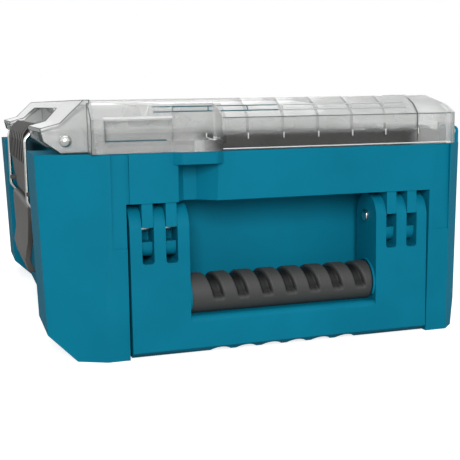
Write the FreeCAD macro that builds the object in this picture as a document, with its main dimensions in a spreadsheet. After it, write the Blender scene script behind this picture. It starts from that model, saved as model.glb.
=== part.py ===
"""Compartment storage box: a moulded case with a clear hinged lid, a draw latch, folding end handles and bins.

Origin at the middle of the underside. X runs across the box from the latch side (-X) to the hinge side (+X),
Y along it, from the near end (-Y) to the far end (+Y), and Z up. All sizes are in millimetres.
"""
import FreeCAD, Part
import math
import os
import re

import Sketcher
from FreeCAD import Vector

SIZES = {
    # shared allowances: how far a cut runs past a face, and how much a full rounding falls short of its half
    "overlap": 1,
    "round_relief": 0.01,
    "running_fit": 0.05,
    # case
    "case_width": 296,
    "case_length": 396,
    "rim_height": 132.5,
    "wall_inset": 4,
    "side_inset": 0.5,
    "latch_corner_width": 39,
    "latch_corner_lean": 4.5,
    "latch_corner_slope": 0.514,
    "hinge_corner": 14,
    "wall": 4,
    "hinge_wall": 4.5,
    "floor_thickness": 3.5,
    "deck_width": 42,
    "foot_chamfer_width": 21,
    "foot_chamfer_height": 20,
    "side_chamfer_width": 4,
    "side_chamfer_height": 21,
    "base_recess_depth": 1.5,
    "base_rim": 16,
    "band_width": 12,
    "band_margin": 0.6,
    "band_foot": 73,
    "band_depth": 2.4,
    # latch recess and its keeper
    "latch_recess_length": 236,
    "latch_recess_depth": 18,
    "keeper_length": 120,
    "keeper_height": 8,
    "keeper_depth": 3.5,
    "keeper_level": 74,
    # handle and its recess
    "handle_width": 209.5,
    "handle_shift": 11.75,
    "handle_depth": 31,
    "handle_foot": 0.6,
    "handle_inset": 2,
    "handle_gap": 1.6,
    "arm_width": 38.7,
    "bar_height": 25,
    "bar_round": 4,
    "bar_bevel_depth": 5.5,
    "bar_bevel_height": 4,
    "bar_scallop_radius": 11,
    "bar_scallop_depth": 2.5,
    "bar_scallop_pitch": 18,
    "pivot_height": 83.5,
    "slot_width": 7.8,
    "slot_foot": 62,
    "slot_round": 2,
    "recess_depth": 42,
    "recess_height": 101,
    # lugs between the handle's fingers
    "lug_clearance": 0.35,
    "lug_reach": 12,
    "lug_drop": 17.5,
    "lug_round": 7,
    "lug_window_head": 85.5,
    "lug_window_foot": 76,
    "handle_pin_diameter": 5,
    "pin_head_diameter": 8,
    "pin_head_height": 1.4,
    "pin_end_gap": 1,
    # grip
    "grip_diameter": 27,
    "grip_core": 12,
    "grip_seat": 1,
    "scoop_radius": 2.75,
    "scoop_depth": 2.6,
    "scoop_pitch": 17,
    "scoop_tilt": 45,
    # padlock eye
    "eye_shift": -47.7,
    "alcove_width": 26.6,
    "alcove_depth": 12,
    "alcove_facet": 6,
    "eye_width": 33,
    "eye_bulge": 5.5,
    "eye_thickness": 7.5,
    "eye_hole_diameter": 6,
    "eye_hole_reach": 0.4,
    # hinge
    "hinge_inset": 4.1,
    "hinge_height": 140.5,
    "hinge_pin_diameter": 3.4,
    "ear_radius": 3.9,
    "ear_root": 3,
    "ear_clearance": 0.4,
    "ear_length": 14,
    "ear_spacing": 118,
    "knuckle_length": 60,
    # lid
    "lid_gap": 0.3,
    "lid_wall": 3,
    "lid_height": 166,
    "lid_break": 160,
    "lid_shoulder": 154,
    "lid_break_inset": 6,
    "lid_break_side": 4,
    "lid_top_inset": 18,
    "lid_top_side": 13,
    "lid_end_inset": 1,
    "lid_hinge_inset": 7,
    "lid_latch_inset": 33,
    "lid_rib": 2,
    "lid_rib_foot": 144,
    "pocket_left": 8.5,
    "pocket_width": 44,
    "pocket_depth": 8,
    "pocket_foot": 140,
    "pocket_head": 153,
    "notch_shift": -83.5,
    "notch_top_width": 19.5,
    "notch_foot_width": 7,
    "notch_foot": 156,
    "notch_reach": 12,
    "eave_top_width": 2,
    "eave_break_width": 17,
    "eave_break": 152,
    "eave_width": 29,
    "eave_edge": 149,
    "eave_thickness": 2.5,
    "eave_end_gap": 15,
    "arch_length": 190,
    "arch_height": 161,
    "plate_thickness": 2.4,
    "plate_pitch": 8,
    "plate_foot_gap": 1,
    "plate_toe": 12,
    "plate_heel": 1.5,
    "plate_heel_height": 141,
    # latch
    "latch_rod_diameter": 6,
    "latch_rod_inset": 19,
    "latch_rod_height": 141,
    "wire_diameter": 3,
    "wire_spacing": 176,
    "wire_inset": 2,
    "wire_top": 149,
    "wire_top_reach": 7.5,
    "wire_shoulder": 139,
    "wire_foot_rise": 8,
    "wire_bend": 6,
    "wire_corner_bend": 4,
    "sleeve_length": 6,
    "crossbar_inset": 8,
    "crossbar_height": 86,
    "cover_thickness": 4,
    "cover_top_half": 1.4,
    "cover_flange": 2.5,
    "cover_foot": 94,
    "cover_side_gap": 1,
    "cover_flange_reach": 3,
    "cover_groove": 9,
    "cover_groove_depth": 1.2,
    "cover_groove_foot": 122,
    "cover_groove_pitch": 26,
    "lever_knuckle": 4.5,
    "lever_round": 3.5,
    "lever_taper_top": 78,
    "lever_width": 150,
    "lever_tip_width": 117,
    "lever_thickness": 4,
    "lever_inset": 2.5,
    "lever_flare_inset": 0.2,
    "lever_flare": 47,
    "lever_waist": 60,
    "lever_tip": 37,
    "claw_level": 72,
    "claw_height": 3,
    "claw_root": 2,
    "claw_gap": 0.3,
    # trays and bins
    "tray_hinge_inset": 15,
    "tray_pitch": 24.5,
    "tray_wall": 1.6,
    "tray_height": 140,
    "tray_arch_rise": 4.5,
    "tray_arch_radius": 22,
    "tray_bay_width": 42,
    "tray_floor": 2,
    "tray_gap": 0.5,
    "bin_gap": 1,
    "bin_wall": 1.8,
    "bin_height": 138,
    "bin_round": 9,
}
TRAY_POCKETS = 8
HINGE_EARS = 4
GRIP_SCOOPS = 7
BAR_SCALLOPS = 6
COVER_GROOVES = 6
EAR_PLATES = 3
WIRE_FLATS = 12
BEND_STEPS = 3
BIN_COLUMNS = 2
BIN_ROWS = 3

# Positions that several pieces share, as expressions of the sizes
LATCH_SIDE = "-case_width / 2"
HINGE_SIDE = "case_width / 2"
END = "case_length / 2"
DECK_EDGE = f"({LATCH_SIDE} + deck_width)"
RECESS_LEFT = "(handle_shift - handle_width / 2 - handle_gap)"
RECESS_RIGHT = "(handle_shift + handle_width / 2 + handle_gap)"
RECESS_BACK = "(case_length / 2 - recess_depth)"
HANDLE_FRONT = "(case_length / 2 - handle_inset)"
PIVOT_Y = "(case_length / 2 - handle_inset - handle_depth / 2)"
SHELF = "(recess_height + wall)"
MIDDLE_END = f"({RECESS_BACK} - wall)"
FINGER = "((arm_width - 2 * slot_width) / 3)"
GRIP_LENGTH = "(handle_width - 2 * arm_width)"
GRIP_HEIGHT = "(handle_foot + bar_height - grip_seat + grip_diameter / 2)"
ROD_X = f"({LATCH_SIDE} + latch_rod_inset)"
LID_FOOT = "(rim_height + lid_gap)"
LID_LEFT = f"({LATCH_SIDE} + lid_latch_inset)"
LID_RIGHT = "(case_width / 2 - lid_hinge_inset)"
LID_END = "(case_length / 2 - lid_end_inset)"
HINGE_X = "(case_width / 2 - hinge_inset)"
TRAY_RIGHT = "(case_width / 2 - tray_hinge_inset)"
TRAY_LEFT = f"({TRAY_RIGHT} - {TRAY_POCKETS} * tray_pitch)"
TRAY_BACK = f"({MIDDLE_END} + tray_gap)"
TRAY_FRONT = "(case_length / 2 - alcove_depth - wall - tray_gap)"
WIRE_X = f"({LATCH_SIDE} + wire_inset)"
CROSSBAR_X = f"({LATCH_SIDE} + crossbar_inset)"
ARMS = ("(handle_shift - handle_width / 2)", "(handle_shift + handle_width / 2 - arm_width)")

doc = FreeCAD.newDocument("compartment_box")
sheet = doc.addObject("Spreadsheet::Sheet", "dims")
for line, (alias, size) in enumerate(SIZES.items(), start=1):
    sheet.set(f"A{line}", alias)
    sheet.set(f"B{line}", str(size))
    sheet.setAlias(f"B{line}", alias)
doc.recompute()


def bound(text):
    """An expression of size names, written for the document."""
    return re.sub(r"[a-z_]+", lambda word: f"dims.{word[0]}" if word[0] in SIZES else word[0], text)


def number(text):
    """The value of an expression of size names."""
    return float(sheet.evalExpression(bound(text)))


def new_body(label):
    """An empty body whose label names its file."""
    body = doc.addObject("PartDesign::Body", label)
    body.Label = label
    return body


def datum(body, role):
    """One of the body's own planes or axes."""
    return next(feature for feature in body.Origin.OriginFeatures if feature.Role == role)


def sketch(body, role, offset, *loops):
    """A sketch parallel to one of the body's own planes, offset along its normal, with closed loops."""
    drawing = body.newObject("Sketcher::SketchObject", f"{body.Name}_sketch")
    drawing.AttachmentSupport = [(datum(body, role), "")]
    drawing.MapMode = "FlatFace"
    drawing.setExpression("AttachmentOffset.Base.z", bound(offset))
    for loop in loops:
        if isinstance(loop, dict):
            draw_circle(drawing, **loop)
        else:
            draw_outline(drawing, loop)
    return drawing


def hold(drawing, point, x, y):
    """Tie a point of the sketch to its place, counted from the sketch's origin."""
    for kind, distance in (("DistanceX", x), ("DistanceY", y)):
        index = drawing.addConstraint(Sketcher.Constraint(kind, -1, 1, *point, number(distance)))
        drawing.setExpression(f"Constraints[{index}]", bound(distance))


def draw_circle(drawing, x, y, diameter):
    """A circle in the sketch."""
    shape = Part.Circle(Vector(number(x), number(y), 0), Vector(0, 0, 1), number(diameter) / 2)
    ring = drawing.addGeometry(shape)
    hold(drawing, (ring, 3), x, y)
    index = drawing.addConstraint(Sketcher.Constraint("Diameter", ring, number(diameter)))
    drawing.setExpression(f"Constraints[{index}]", bound(diameter))


def rounding(corner, other, reach):
    """Place on the way from a corner to another one, a reach along it, as a pair of expressions."""
    run_x = f"(({other[0]}) - ({corner[0]}))"
    run_y = f"(({other[1]}) - ({corner[1]}))"
    share = f"{reach} / sqrt({run_x}^2 + {run_y}^2)"
    return f"{corner[0]} + {run_x} * {share}", f"{corner[1]} + {run_y} * {share}"


def tangent_reach(corner, back, onward):
    """How far from a rounded corner its arc starts, as an expression."""
    sides = [(f"(({end[0]}) - ({corner[0]}))", f"(({end[1]}) - ({corner[1]}))") for end in (back, onward)]
    dot = f"({sides[0][0]} * {sides[1][0]} + {sides[0][1]} * {sides[1][1]})"
    lengths = " * ".join(f"sqrt({x}^2 + {y}^2)" for x, y in sides)
    cosine = f"({dot} / ({lengths}))"
    return f"(({corner[2]}) * sqrt((1 + {cosine}) / (1 - {cosine})))"


def place(point):
    """A pair of expressions as a vector."""
    return Vector(number(point[0]), number(point[1]), 0)


def draw_outline(drawing, corners):
    """A closed run of straight edges through corners (x, y) or, with a rounded corner, (x, y, radius)."""
    before, after = [], []
    for index, corner in enumerate(corners):
        back = corners[index - 1]
        onward = corners[(index + 1) % len(corners)]
        if len(corner) == 2:
            before.append(corner)
            after.append(corner)
        else:
            reach = tangent_reach(corner, back, onward)
            before.append(rounding(corner, back, reach))
            after.append(rounding(corner, onward, reach))
    edges = []
    for index in range(len(corners)):
        ahead = (index + 1) % len(corners)
        edges.append(drawing.addGeometry(Part.LineSegment(place(after[index]), place(before[ahead]))))
    for index, corner in enumerate(corners):
        earlier, later = edges[index - 1], edges[index]
        hold(drawing, (later, 1), *after[index])
        if len(corner) == 2:
            drawing.addConstraint(Sketcher.Constraint("Coincident", earlier, 2, later, 1))
            continue
        hold(drawing, (earlier, 2), *before[index])
        radius = number(corner[2])
        start, stop = place(before[index]), place(after[index])
        middle = (start + stop) / 2
        rise = radius - math.sqrt(radius**2 - start.distanceToPoint(middle) ** 2)
        crown = middle + (place(corner) - middle).normalize() * rise
        turns_left = (crown - start).cross(stop - crown).z > 0
        first, last = (1, 2) if turns_left else (2, 1)
        ends = (start, crown, stop) if turns_left else (stop, crown, start)
        arc = drawing.addGeometry(Part.Arc(*ends))
        drawing.addConstraint(Sketcher.Constraint("Coincident", earlier, 2, arc, first))
        drawing.addConstraint(Sketcher.Constraint("Coincident", later, 1, arc, last))
        bend = drawing.addConstraint(Sketcher.Constraint("Radius", arc, radius))
        drawing.setExpression(f"Constraints[{bend}]", bound(corner[2]))


def extrude(body, kind, drawing, length, reverse=False, symmetric=False):
    """A Pad or Pocket of a sketch; a Pad follows the sketch's normal and a Pocket goes against it."""
    feature = body.newObject(f"PartDesign::{kind}", f"{body.Name}_{kind}")
    feature.Profile = drawing
    feature.setExpression("Length", bound(length))
    feature.Reversed = reverse
    if symmetric:
        feature.SideType = "Symmetric"
    doc.recompute()
    return feature


def loft(body, kind, drawings):
    """A ruled AdditiveLoft or SubtractiveLoft through sketches."""
    feature = body.newObject(f"PartDesign::{kind}", f"{body.Name}_{kind}")
    feature.Profile = drawings[0]
    feature.Sections = drawings[1:]
    feature.Ruled = True
    doc.recompute()
    return feature


def mirror_ends(body, features):
    """Repeat features of the near end at the far end."""
    feature = body.newObject("PartDesign::Mirrored", f"{body.Name}_mirrored")
    feature.Originals = features
    feature.MirrorPlane = (datum(body, "XZ_Plane"), [""])
    body.Tip = feature
    doc.recompute()
    return feature


def row(body, features, role, pitch, count):
    """Repeat features along one of the body's axes."""
    feature = body.newObject("PartDesign::LinearPattern", f"{body.Name}_row")
    feature.Originals = features
    feature.Direction = (datum(body, role), [""])
    feature.setExpression("Length", bound(f"{count - 1} * {pitch}"))
    feature.Occurrences = count
    body.Tip = feature
    doc.recompute()
    return feature


def rectangle(left, right, low, high, radius=None):
    """Corners of an upright rectangle, rounded if a radius is given."""
    corners = [(left, low), (right, low), (right, high), (left, high)]
    if radius:
        corners = [(x, y, radius) for x, y in corners]
    return corners


def both_ends(left, right, near, far, radius=None):
    """Two rectangles in plan, one at each end of the box, between distances near and far from the middle."""
    return [
        rectangle(left, right, f"-({far})", f"-({near})", radius),
        rectangle(left, right, near, far, radius),
    ]


def case_plan(inset, side_inset, lean):
    """Plan of the case's outer wall, drawn in by insets, with the latch corners' front edges moved by lean."""
    left = f"({LATCH_SIDE} + {inset})"
    right = f"({HINGE_SIDE} - {side_inset})"
    end = f"{END} - {inset}"
    flat_left = f"({LATCH_SIDE} + latch_corner_width + {lean})"
    flat_right = f"({HINGE_SIDE} - hinge_corner)"
    side_latch = f"{end} - ({flat_left} - {left}) * latch_corner_slope"
    side_hinge = f"{end} - ({right} - {flat_right})"
    near = [(left, side_latch), (flat_left, end), (flat_right, end), (right, side_hinge)]
    return [(x, f"-({y})") for x, y in near] + near[::-1]


def make_case():
    """The moulded tub, with the recesses, lugs and ears that carry the moving pieces."""
    body = new_body("case_body")
    foot = sketch(body, "XY_Plane", "0", case_plan("wall_inset", "side_inset", "0"))
    rim = sketch(body, "XY_Plane", "rim_height", case_plan("0", "0", "latch_corner_lean"))
    loft(body, "AdditiveLoft", [foot, rim])

    # The padlock eye stands out in an arc at the rim, and the niche below it lets a shackle through
    eye_left = "eye_shift - eye_width / 2"
    eye_right = "eye_shift + eye_width / 2"
    eye_front = f"-({END} + eye_bulge)"
    eye_back = f"-({END} - alcove_depth)"
    eye = [
        (eye_left, eye_back),
        (eye_right, eye_back),
        (eye_right, f"-({END})"),
        (f"{eye_right} - eye_bulge", eye_front, "eye_bulge"),
        (f"{eye_left} + eye_bulge", eye_front, "eye_bulge"),
        (eye_left, f"-({END})"),
    ]
    eye_pad = extrude(body, "Pad", sketch(body, "XY_Plane", "rim_height", eye), "eye_thickness", reverse=True)

    # Recesses for the handles at the ends and for the latch, open at the foot, and slanted feet on the long sides
    handle_room = both_ends(RECESS_LEFT, RECESS_RIGHT, RECESS_BACK, f"{END} + eye_bulge")
    extrude(body, "Pocket", sketch(body, "XY_Plane", "recess_height", *handle_room), "recess_height + wall")
    latch_room = rectangle(
        f"{LATCH_SIDE} - wall",
        f"{LATCH_SIDE} + latch_recess_depth",
        "-latch_recess_length / 2",
        "latch_recess_length / 2",
    )
    extrude(body, "Pocket", sketch(body, "XY_Plane", "rim_height", latch_room), "rim_height + wall")
    chamfer_left = f"{LATCH_SIDE} - wall"
    chamfer_right = f"{LATCH_SIDE} + foot_chamfer_width"
    chamfer_rise = "foot_chamfer_height * (foot_chamfer_width + wall) / foot_chamfer_width"
    latch_chamfer = [(chamfer_left, "0"), (chamfer_right, "0"), (chamfer_left, chamfer_rise)]
    side_left = f"{HINGE_SIDE} - side_chamfer_width"
    side_right = f"{HINGE_SIDE} + wall"
    side_rise = "side_chamfer_height * (side_chamfer_width + wall) / side_chamfer_width"
    side_chamfer = [(side_left, "0"), (side_right, "0"), (side_right, side_rise)]
    feet = sketch(body, "XZ_Plane", "0", latch_chamfer, side_chamfer)
    extrude(body, "Pocket", feet, "case_length + wall", symmetric=True)

    # Inside: a shallow upper hollow over the whole plan, jogged round the niche, and a deep middle below it
    end_wall = f"{END} - wall"
    niche_wall = f"{END} - alcove_depth - wall"
    jog_left = "eye_shift - alcove_width / 2 - wall"
    jog_right = "eye_shift + alcove_width / 2 + wall"
    hollow_right = f"{HINGE_SIDE} - hinge_wall"
    near = [
        (DECK_EDGE, end_wall),
        (jog_left, end_wall),
        (jog_left, niche_wall),
        (jog_right, niche_wall),
        (jog_right, end_wall),
        (f"{hollow_right} - hinge_corner + wall / 2", end_wall),
        (hollow_right, f"{end_wall} - hinge_corner + wall / 2"),
    ]
    plan = [(x, f"-({y})") for x, y in near] + near[::-1]
    extrude(body, "Pocket", sketch(body, "XY_Plane", "rim_height", plan), f"rim_height - {SHELF}")
    deep_right = f"{HINGE_SIDE} - wall_inset - hinge_wall"
    well_left = f"{RECESS_RIGHT} + wall"
    well_end = f"{END} - wall_inset - 2 * wall"
    deep_near = [
        (DECK_EDGE, MIDDLE_END),
        (well_left, MIDDLE_END),
        (well_left, well_end),
        (f"{deep_right} - hinge_corner + wall", well_end),
        (deep_right, f"{well_end} - hinge_corner + wall"),
    ]
    deep_plan = [(x, f"-({y})") for x, y in deep_near] + deep_near[::-1]
    extrude(body, "Pocket", sketch(body, "XY_Plane", SHELF, deep_plan), f"{SHELF} - floor_thickness")

    # A shallow panel drawn up in the underside leaves a broad rim to stand on
    panel = rectangle(
        f"{LATCH_SIDE} + foot_chamfer_width + base_rim",
        f"{HINGE_SIDE} - wall_inset - base_rim",
        f"-({MIDDLE_END} - base_rim)",
        f"{MIDDLE_END} - base_rim",
        "base_rim / 2",
    )
    extrude(body, "Pocket", sketch(body, "XY_Plane", "0", panel), "base_recess_depth", reverse=True)

    # Hollows drawn up from below: behind the latch recess, and in the posts beside it
    core_left = f"{LATCH_SIDE} + latch_recess_depth + wall"
    core_right = f"{DECK_EDGE} - wall"
    core_end = "(latch_recess_length / 2 - wall)"
    post_end = f"({END} - wall_inset - 2 * wall)"
    post_side = f"({post_end} - ({core_right} - ({core_left})) * latch_corner_slope)"
    post = [(core_left, f"{core_end} + wall"), (core_right, f"{core_end} + wall"), (core_right, post_end)]
    post.append((core_left, post_side))
    cores = [rectangle(core_left, core_right, f"-{core_end}", core_end), post, [(x, f"-({y})") for x, y in post]]
    extrude(body, "Pocket", sketch(body, "XY_Plane", "0", *cores), "rim_height - wall", reverse=True)

    # The keeper that the lever's claw snaps behind
    keeper_root = f"{LATCH_SIDE} + latch_recess_depth"
    keeper = [
        (f"{keeper_root} + overlap", "keeper_level"),
        (f"{keeper_root} + overlap", "keeper_level + keeper_height"),
        (keeper_root, "keeper_level + keeper_height"),
        (f"{keeper_root} - keeper_depth", "keeper_level + keeper_depth"),
        (f"{keeper_root} - keeper_depth", "keeper_level"),
    ]
    extrude(body, "Pad", sketch(body, "XZ_Plane", "0", keeper), "keeper_length", symmetric=True)

    # Features of the near end, repeated at the far end: the niche, the bands beside the corners and the lugs
    alcove_left = "eye_shift - alcove_width / 2"
    alcove_right = "eye_shift + alcove_width / 2"
    alcove = [
        (alcove_left, f"-({END} + eye_bulge)"),
        (alcove_right, f"-({END} + eye_bulge)"),
        (alcove_right, f"-({END} - alcove_depth + 2 * alcove_facet)"),
        (f"{alcove_right} - 2 * alcove_facet", f"-({END} - alcove_depth)"),
        (f"{alcove_left} + alcove_facet", f"-({END} - alcove_depth)"),
        (alcove_left, f"-({END} - alcove_depth + alcove_facet)"),
    ]
    niche_height = "rim_height - eye_thickness - recess_height + wall / 2"
    niche = extrude(body, "Pocket", sketch(body, "XY_Plane", "rim_height - eye_thickness", alcove), niche_height)
    hole = dict(x="eye_shift", y=f"-({END} + eye_hole_reach)", diameter="eye_hole_diameter")
    eye_hole = extrude(body, "Pocket", sketch(body, "XY_Plane", "rim_height", hole), "eye_thickness + overlap")
    flat_left = f"{LATCH_SIDE} + latch_corner_width + latch_corner_lean"
    flat_right = f"{HINGE_SIDE} - hinge_corner"
    band_front = f"-({END} + overlap)"
    band_back = f"-({END} - band_depth)"
    bands = sketch(
        body,
        "XY_Plane",
        "rim_height",
        rectangle(f"{flat_left} + band_margin", f"{flat_left} + band_width", band_front, band_back),
        rectangle(f"{flat_right} - band_width", f"{flat_right} - band_margin", band_front, band_back),
    )
    band_cut = extrude(body, "Pocket", bands, "rim_height - band_foot")
    lugs = []
    lug_back = f"-({RECESS_BACK} - overlap)"
    lug_front = f"-({PIVOT_Y} + lug_reach)"
    for arm_left in ARMS:
        for order in (1, 2):
            lug_left = f"{arm_left} + {order} * {FINGER} + {order - 1} * slot_width + lug_clearance"
            lug = [
                (lug_back, "recess_height + overlap"),
                (f"-{HANDLE_FRONT}", "recess_height + overlap"),
                (f"-{HANDLE_FRONT}", "lug_window_head"),
                (f"-{PIVOT_Y}", "lug_window_head"),
                (f"-{PIVOT_Y}", "lug_window_foot"),
                (lug_front, "lug_window_foot"),
                (lug_front, "pivot_height - lug_drop", "lug_round"),
                (lug_back, "pivot_height - lug_drop"),
            ]
            drawing = sketch(body, "YZ_Plane", lug_left, lug)
            lugs.append(extrude(body, "Pad", drawing, "slot_width - 2 * lug_clearance"))
    bores = []
    for arm_left in ARMS:
        bore = dict(x=f"-{PIVOT_Y}", y="pivot_height", diameter="handle_pin_diameter + 2 * running_fit")
        drawing = sketch(body, "YZ_Plane", f"{arm_left} + arm_width", bore)
        bores.append(extrude(body, "Pocket", drawing, "arm_width"))
    mirror_ends(body, [eye_pad, niche, eye_hole, band_cut, *lugs, *bores])

    # Hinge ears on the far long side, in a row, with one bore for the pin
    ear_left = f"{HINGE_X} - ear_radius"
    ear_right = f"{HINGE_X} + ear_radius"
    ear_top = "hinge_height + ear_radius"
    ear = [
        (ear_left, "rim_height - ear_root"),
        (ear_right, "rim_height - ear_root"),
        (ear_right, ear_top, "ear_radius - round_relief"),
        (ear_left, ear_top, "ear_radius - round_relief"),
    ]
    first_ear = sketch(body, "XZ_Plane", f"{(HINGE_EARS - 1) / 2} * ear_spacing + ear_length / 2", ear)
    ear_pad = extrude(body, "Pad", first_ear, "ear_length", reverse=True)
    row(body, [ear_pad], "Y_Axis", "ear_spacing", HINGE_EARS)
    pin_bore = dict(x=HINGE_X, y="hinge_height", diameter="hinge_pin_diameter + 2 * running_fit")
    extrude(body, "Pocket", sketch(body, "XZ_Plane", "0", pin_bore), "case_length", symmetric=True)
    return body


def lid_plan(end_inset, hinge_inset, left=LID_LEFT):
    """Plan of the lid's shell at one level."""
    right = f"{LID_RIGHT} - ({hinge_inset})"
    end = f"{LID_END} - ({end_inset})"
    corner = "(hinge_corner / 2)"
    near = [(left, end), (f"{right} - {corner}", end), (right, f"{end} - {corner}")]
    return [(x, f"-({y})") for x, y in near] + near[::-1]


def make_lid():
    """The clear lid: a shell with a stepped bevel, ribs inside, an eave over the latch and hinge knuckles."""
    body = new_body("lid")
    lid_shell(body)
    lid_end(body)
    lid_ribs(body)
    lid_eave(body)
    lid_hinge(body)
    return body


def lid_shell(body):
    """Walls, stepped bevel and top, hollow inside."""
    levels = [
        (LID_FOOT, "0", "0"),
        ("lid_shoulder", "0", "0"),
        ("lid_break", "lid_break_inset", "lid_break_side"),
        ("lid_height", "lid_top_inset", "lid_top_side"),
    ]
    loft(body, "AdditiveLoft", [sketch(body, "XY_Plane", z, lid_plan(end, hinge)) for z, end, hinge in levels])
    inner_left = f"{LID_LEFT} + lid_wall"
    inner = [
        (f"{LID_FOOT} - overlap", "lid_wall", "lid_wall"),
        ("lid_shoulder - lid_wall / 3", "lid_wall", "lid_wall"),
        ("lid_break - lid_wall / 2", "lid_break_inset + lid_wall", "lid_break_side + lid_wall"),
        ("lid_height - lid_wall", "lid_top_inset + lid_wall / 2", "lid_top_side + lid_wall / 2"),
    ]
    hollows = [sketch(body, "XY_Plane", z, lid_plan(end, hinge, inner_left)) for z, end, hinge in inner]
    loft(body, "SubtractiveLoft", hollows)


def lid_end(body):
    """A block behind each end wall, with the pocket, the notch above it and the padlock niche cut into it."""
    niche_left = "eye_shift - eye_width / 2"
    niche_right = "eye_shift + eye_width / 2"
    block_left = f"{LID_LEFT} + lid_wall / 2"
    block_right = f"{niche_right} + lid_wall"
    block_back = f"{LID_END} - alcove_depth - lid_wall"
    block_foot = "pocket_foot - lid_wall"
    profile = [
        (f"-({block_back})", block_foot),
        (f"-({block_back})", "lid_break + (lid_height - lid_break) / 2"),
        (f"-({LID_END} - lid_break_inset - lid_wall / 3)", "lid_break - lid_wall / 6"),
        (f"-({LID_END} - lid_wall / 3)", "lid_shoulder - lid_wall / 6"),
        (f"-({LID_END} - lid_wall / 3)", block_foot),
    ]
    block = extrude(body, "Pad", sketch(body, "YZ_Plane", block_left, profile), f"{block_right} - ({block_left})")
    wall_front = f"-({LID_END} + overlap)"
    pocket_left = f"{LID_LEFT} + pocket_left"
    pocket_right = f"{pocket_left} + pocket_width"
    plan = rectangle(pocket_left, pocket_right, wall_front, f"-({LID_END} - pocket_depth)")
    pocket = extrude(body, "Pocket", sketch(body, "XY_Plane", "pocket_head", plan), "pocket_head - pocket_foot")
    notch = [
        ("notch_shift - notch_top_width / 2", "lid_height + overlap"),
        ("notch_shift - notch_foot_width / 2", "notch_foot"),
        ("notch_shift + notch_foot_width / 2", "notch_foot"),
        ("notch_shift + notch_top_width / 2", "lid_height + overlap"),
    ]
    notch_cut = extrude(body, "Pocket", sketch(body, "XZ_Plane", f"{LID_END} + overlap", notch), "notch_reach")
    niche_plan = [
        (niche_left, wall_front),
        (niche_right, wall_front),
        (f"{niche_right} - alcove_facet / 2", f"-({LID_END} - alcove_depth)"),
        (f"{niche_left} + alcove_facet / 2", f"-({LID_END} - alcove_depth)"),
    ]
    niche = extrude(body, "Pocket", sketch(body, "XY_Plane", "lid_height", niche_plan), "lid_height - pocket_foot")
    eye = [
        (niche_left, f"-({LID_END} - overlap)"),
        (niche_right, f"-({LID_END} - overlap)"),
        (niche_right, f"-({END})"),
        (f"{niche_right} - eye_bulge", f"-({END} + eye_bulge)", "eye_bulge"),
        (f"{niche_left} + eye_bulge", f"-({END} + eye_bulge)", "eye_bulge"),
        (niche_left, f"-({END})"),
    ]
    eye_pad = extrude(body, "Pad", sketch(body, "XY_Plane", LID_FOOT, eye), f"pocket_foot - {LID_FOOT}")
    hole = dict(x="eye_shift", y=f"-({END} + eye_hole_reach)", diameter="eye_hole_diameter")
    hole_drawing = sketch(body, "XY_Plane", "pocket_foot", hole)
    eye_hole = extrude(body, "Pocket", hole_drawing, f"pocket_foot - {LID_FOOT} + overlap")
    mirror_ends(body, [block, pocket, notch_cut, niche, eye_pad, eye_hole])


def lid_ribs(body):
    """Ribs under the top, over the walls of the small pockets and of the bins."""
    profile = [
        (f"-({LID_END} - lid_wall / 2)", "lid_rib_foot"),
        (f"-({TRAY_BACK})", "lid_rib_foot"),
        (f"-({TRAY_BACK})", "lid_height - lid_wall / 2"),
        (f"-({LID_END} - lid_top_inset - lid_wall / 3)", "lid_height - lid_wall / 2"),
        (f"-({LID_END} - lid_break_inset - lid_wall / 3)", "lid_break - lid_wall / 3"),
        (f"-({LID_END} - lid_wall / 2)", "lid_shoulder - lid_wall / 3"),
    ]
    near_ribs = []
    for order in range(2, TRAY_POCKETS):
        left = f"{TRAY_LEFT} + {order} * tray_pitch - lid_rib / 2"
        near_ribs.append(extrude(body, "Pad", sketch(body, "YZ_Plane", left, profile), "lid_rib"))
    mirror_ends(body, near_ribs)
    inner_left = f"{LID_LEFT} + lid_wall / 2"
    inner_right = f"{LID_RIGHT} - lid_top_inset"
    row_length = f"(2 * {MIDDLE_END} / {BIN_ROWS})"
    lines = []
    for middle in (f"-{TRAY_BACK}", f"-{row_length} / 2", f"{row_length} / 2", TRAY_BACK):
        lines.append(rectangle(inner_left, inner_right, f"{middle} - lid_rib / 2", f"{middle} + lid_rib / 2"))
    extrude(body, "Pad", sketch(body, "XY_Plane", "lid_rib_foot", *lines), "lid_height - lid_rib_foot - lid_wall / 2")


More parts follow.
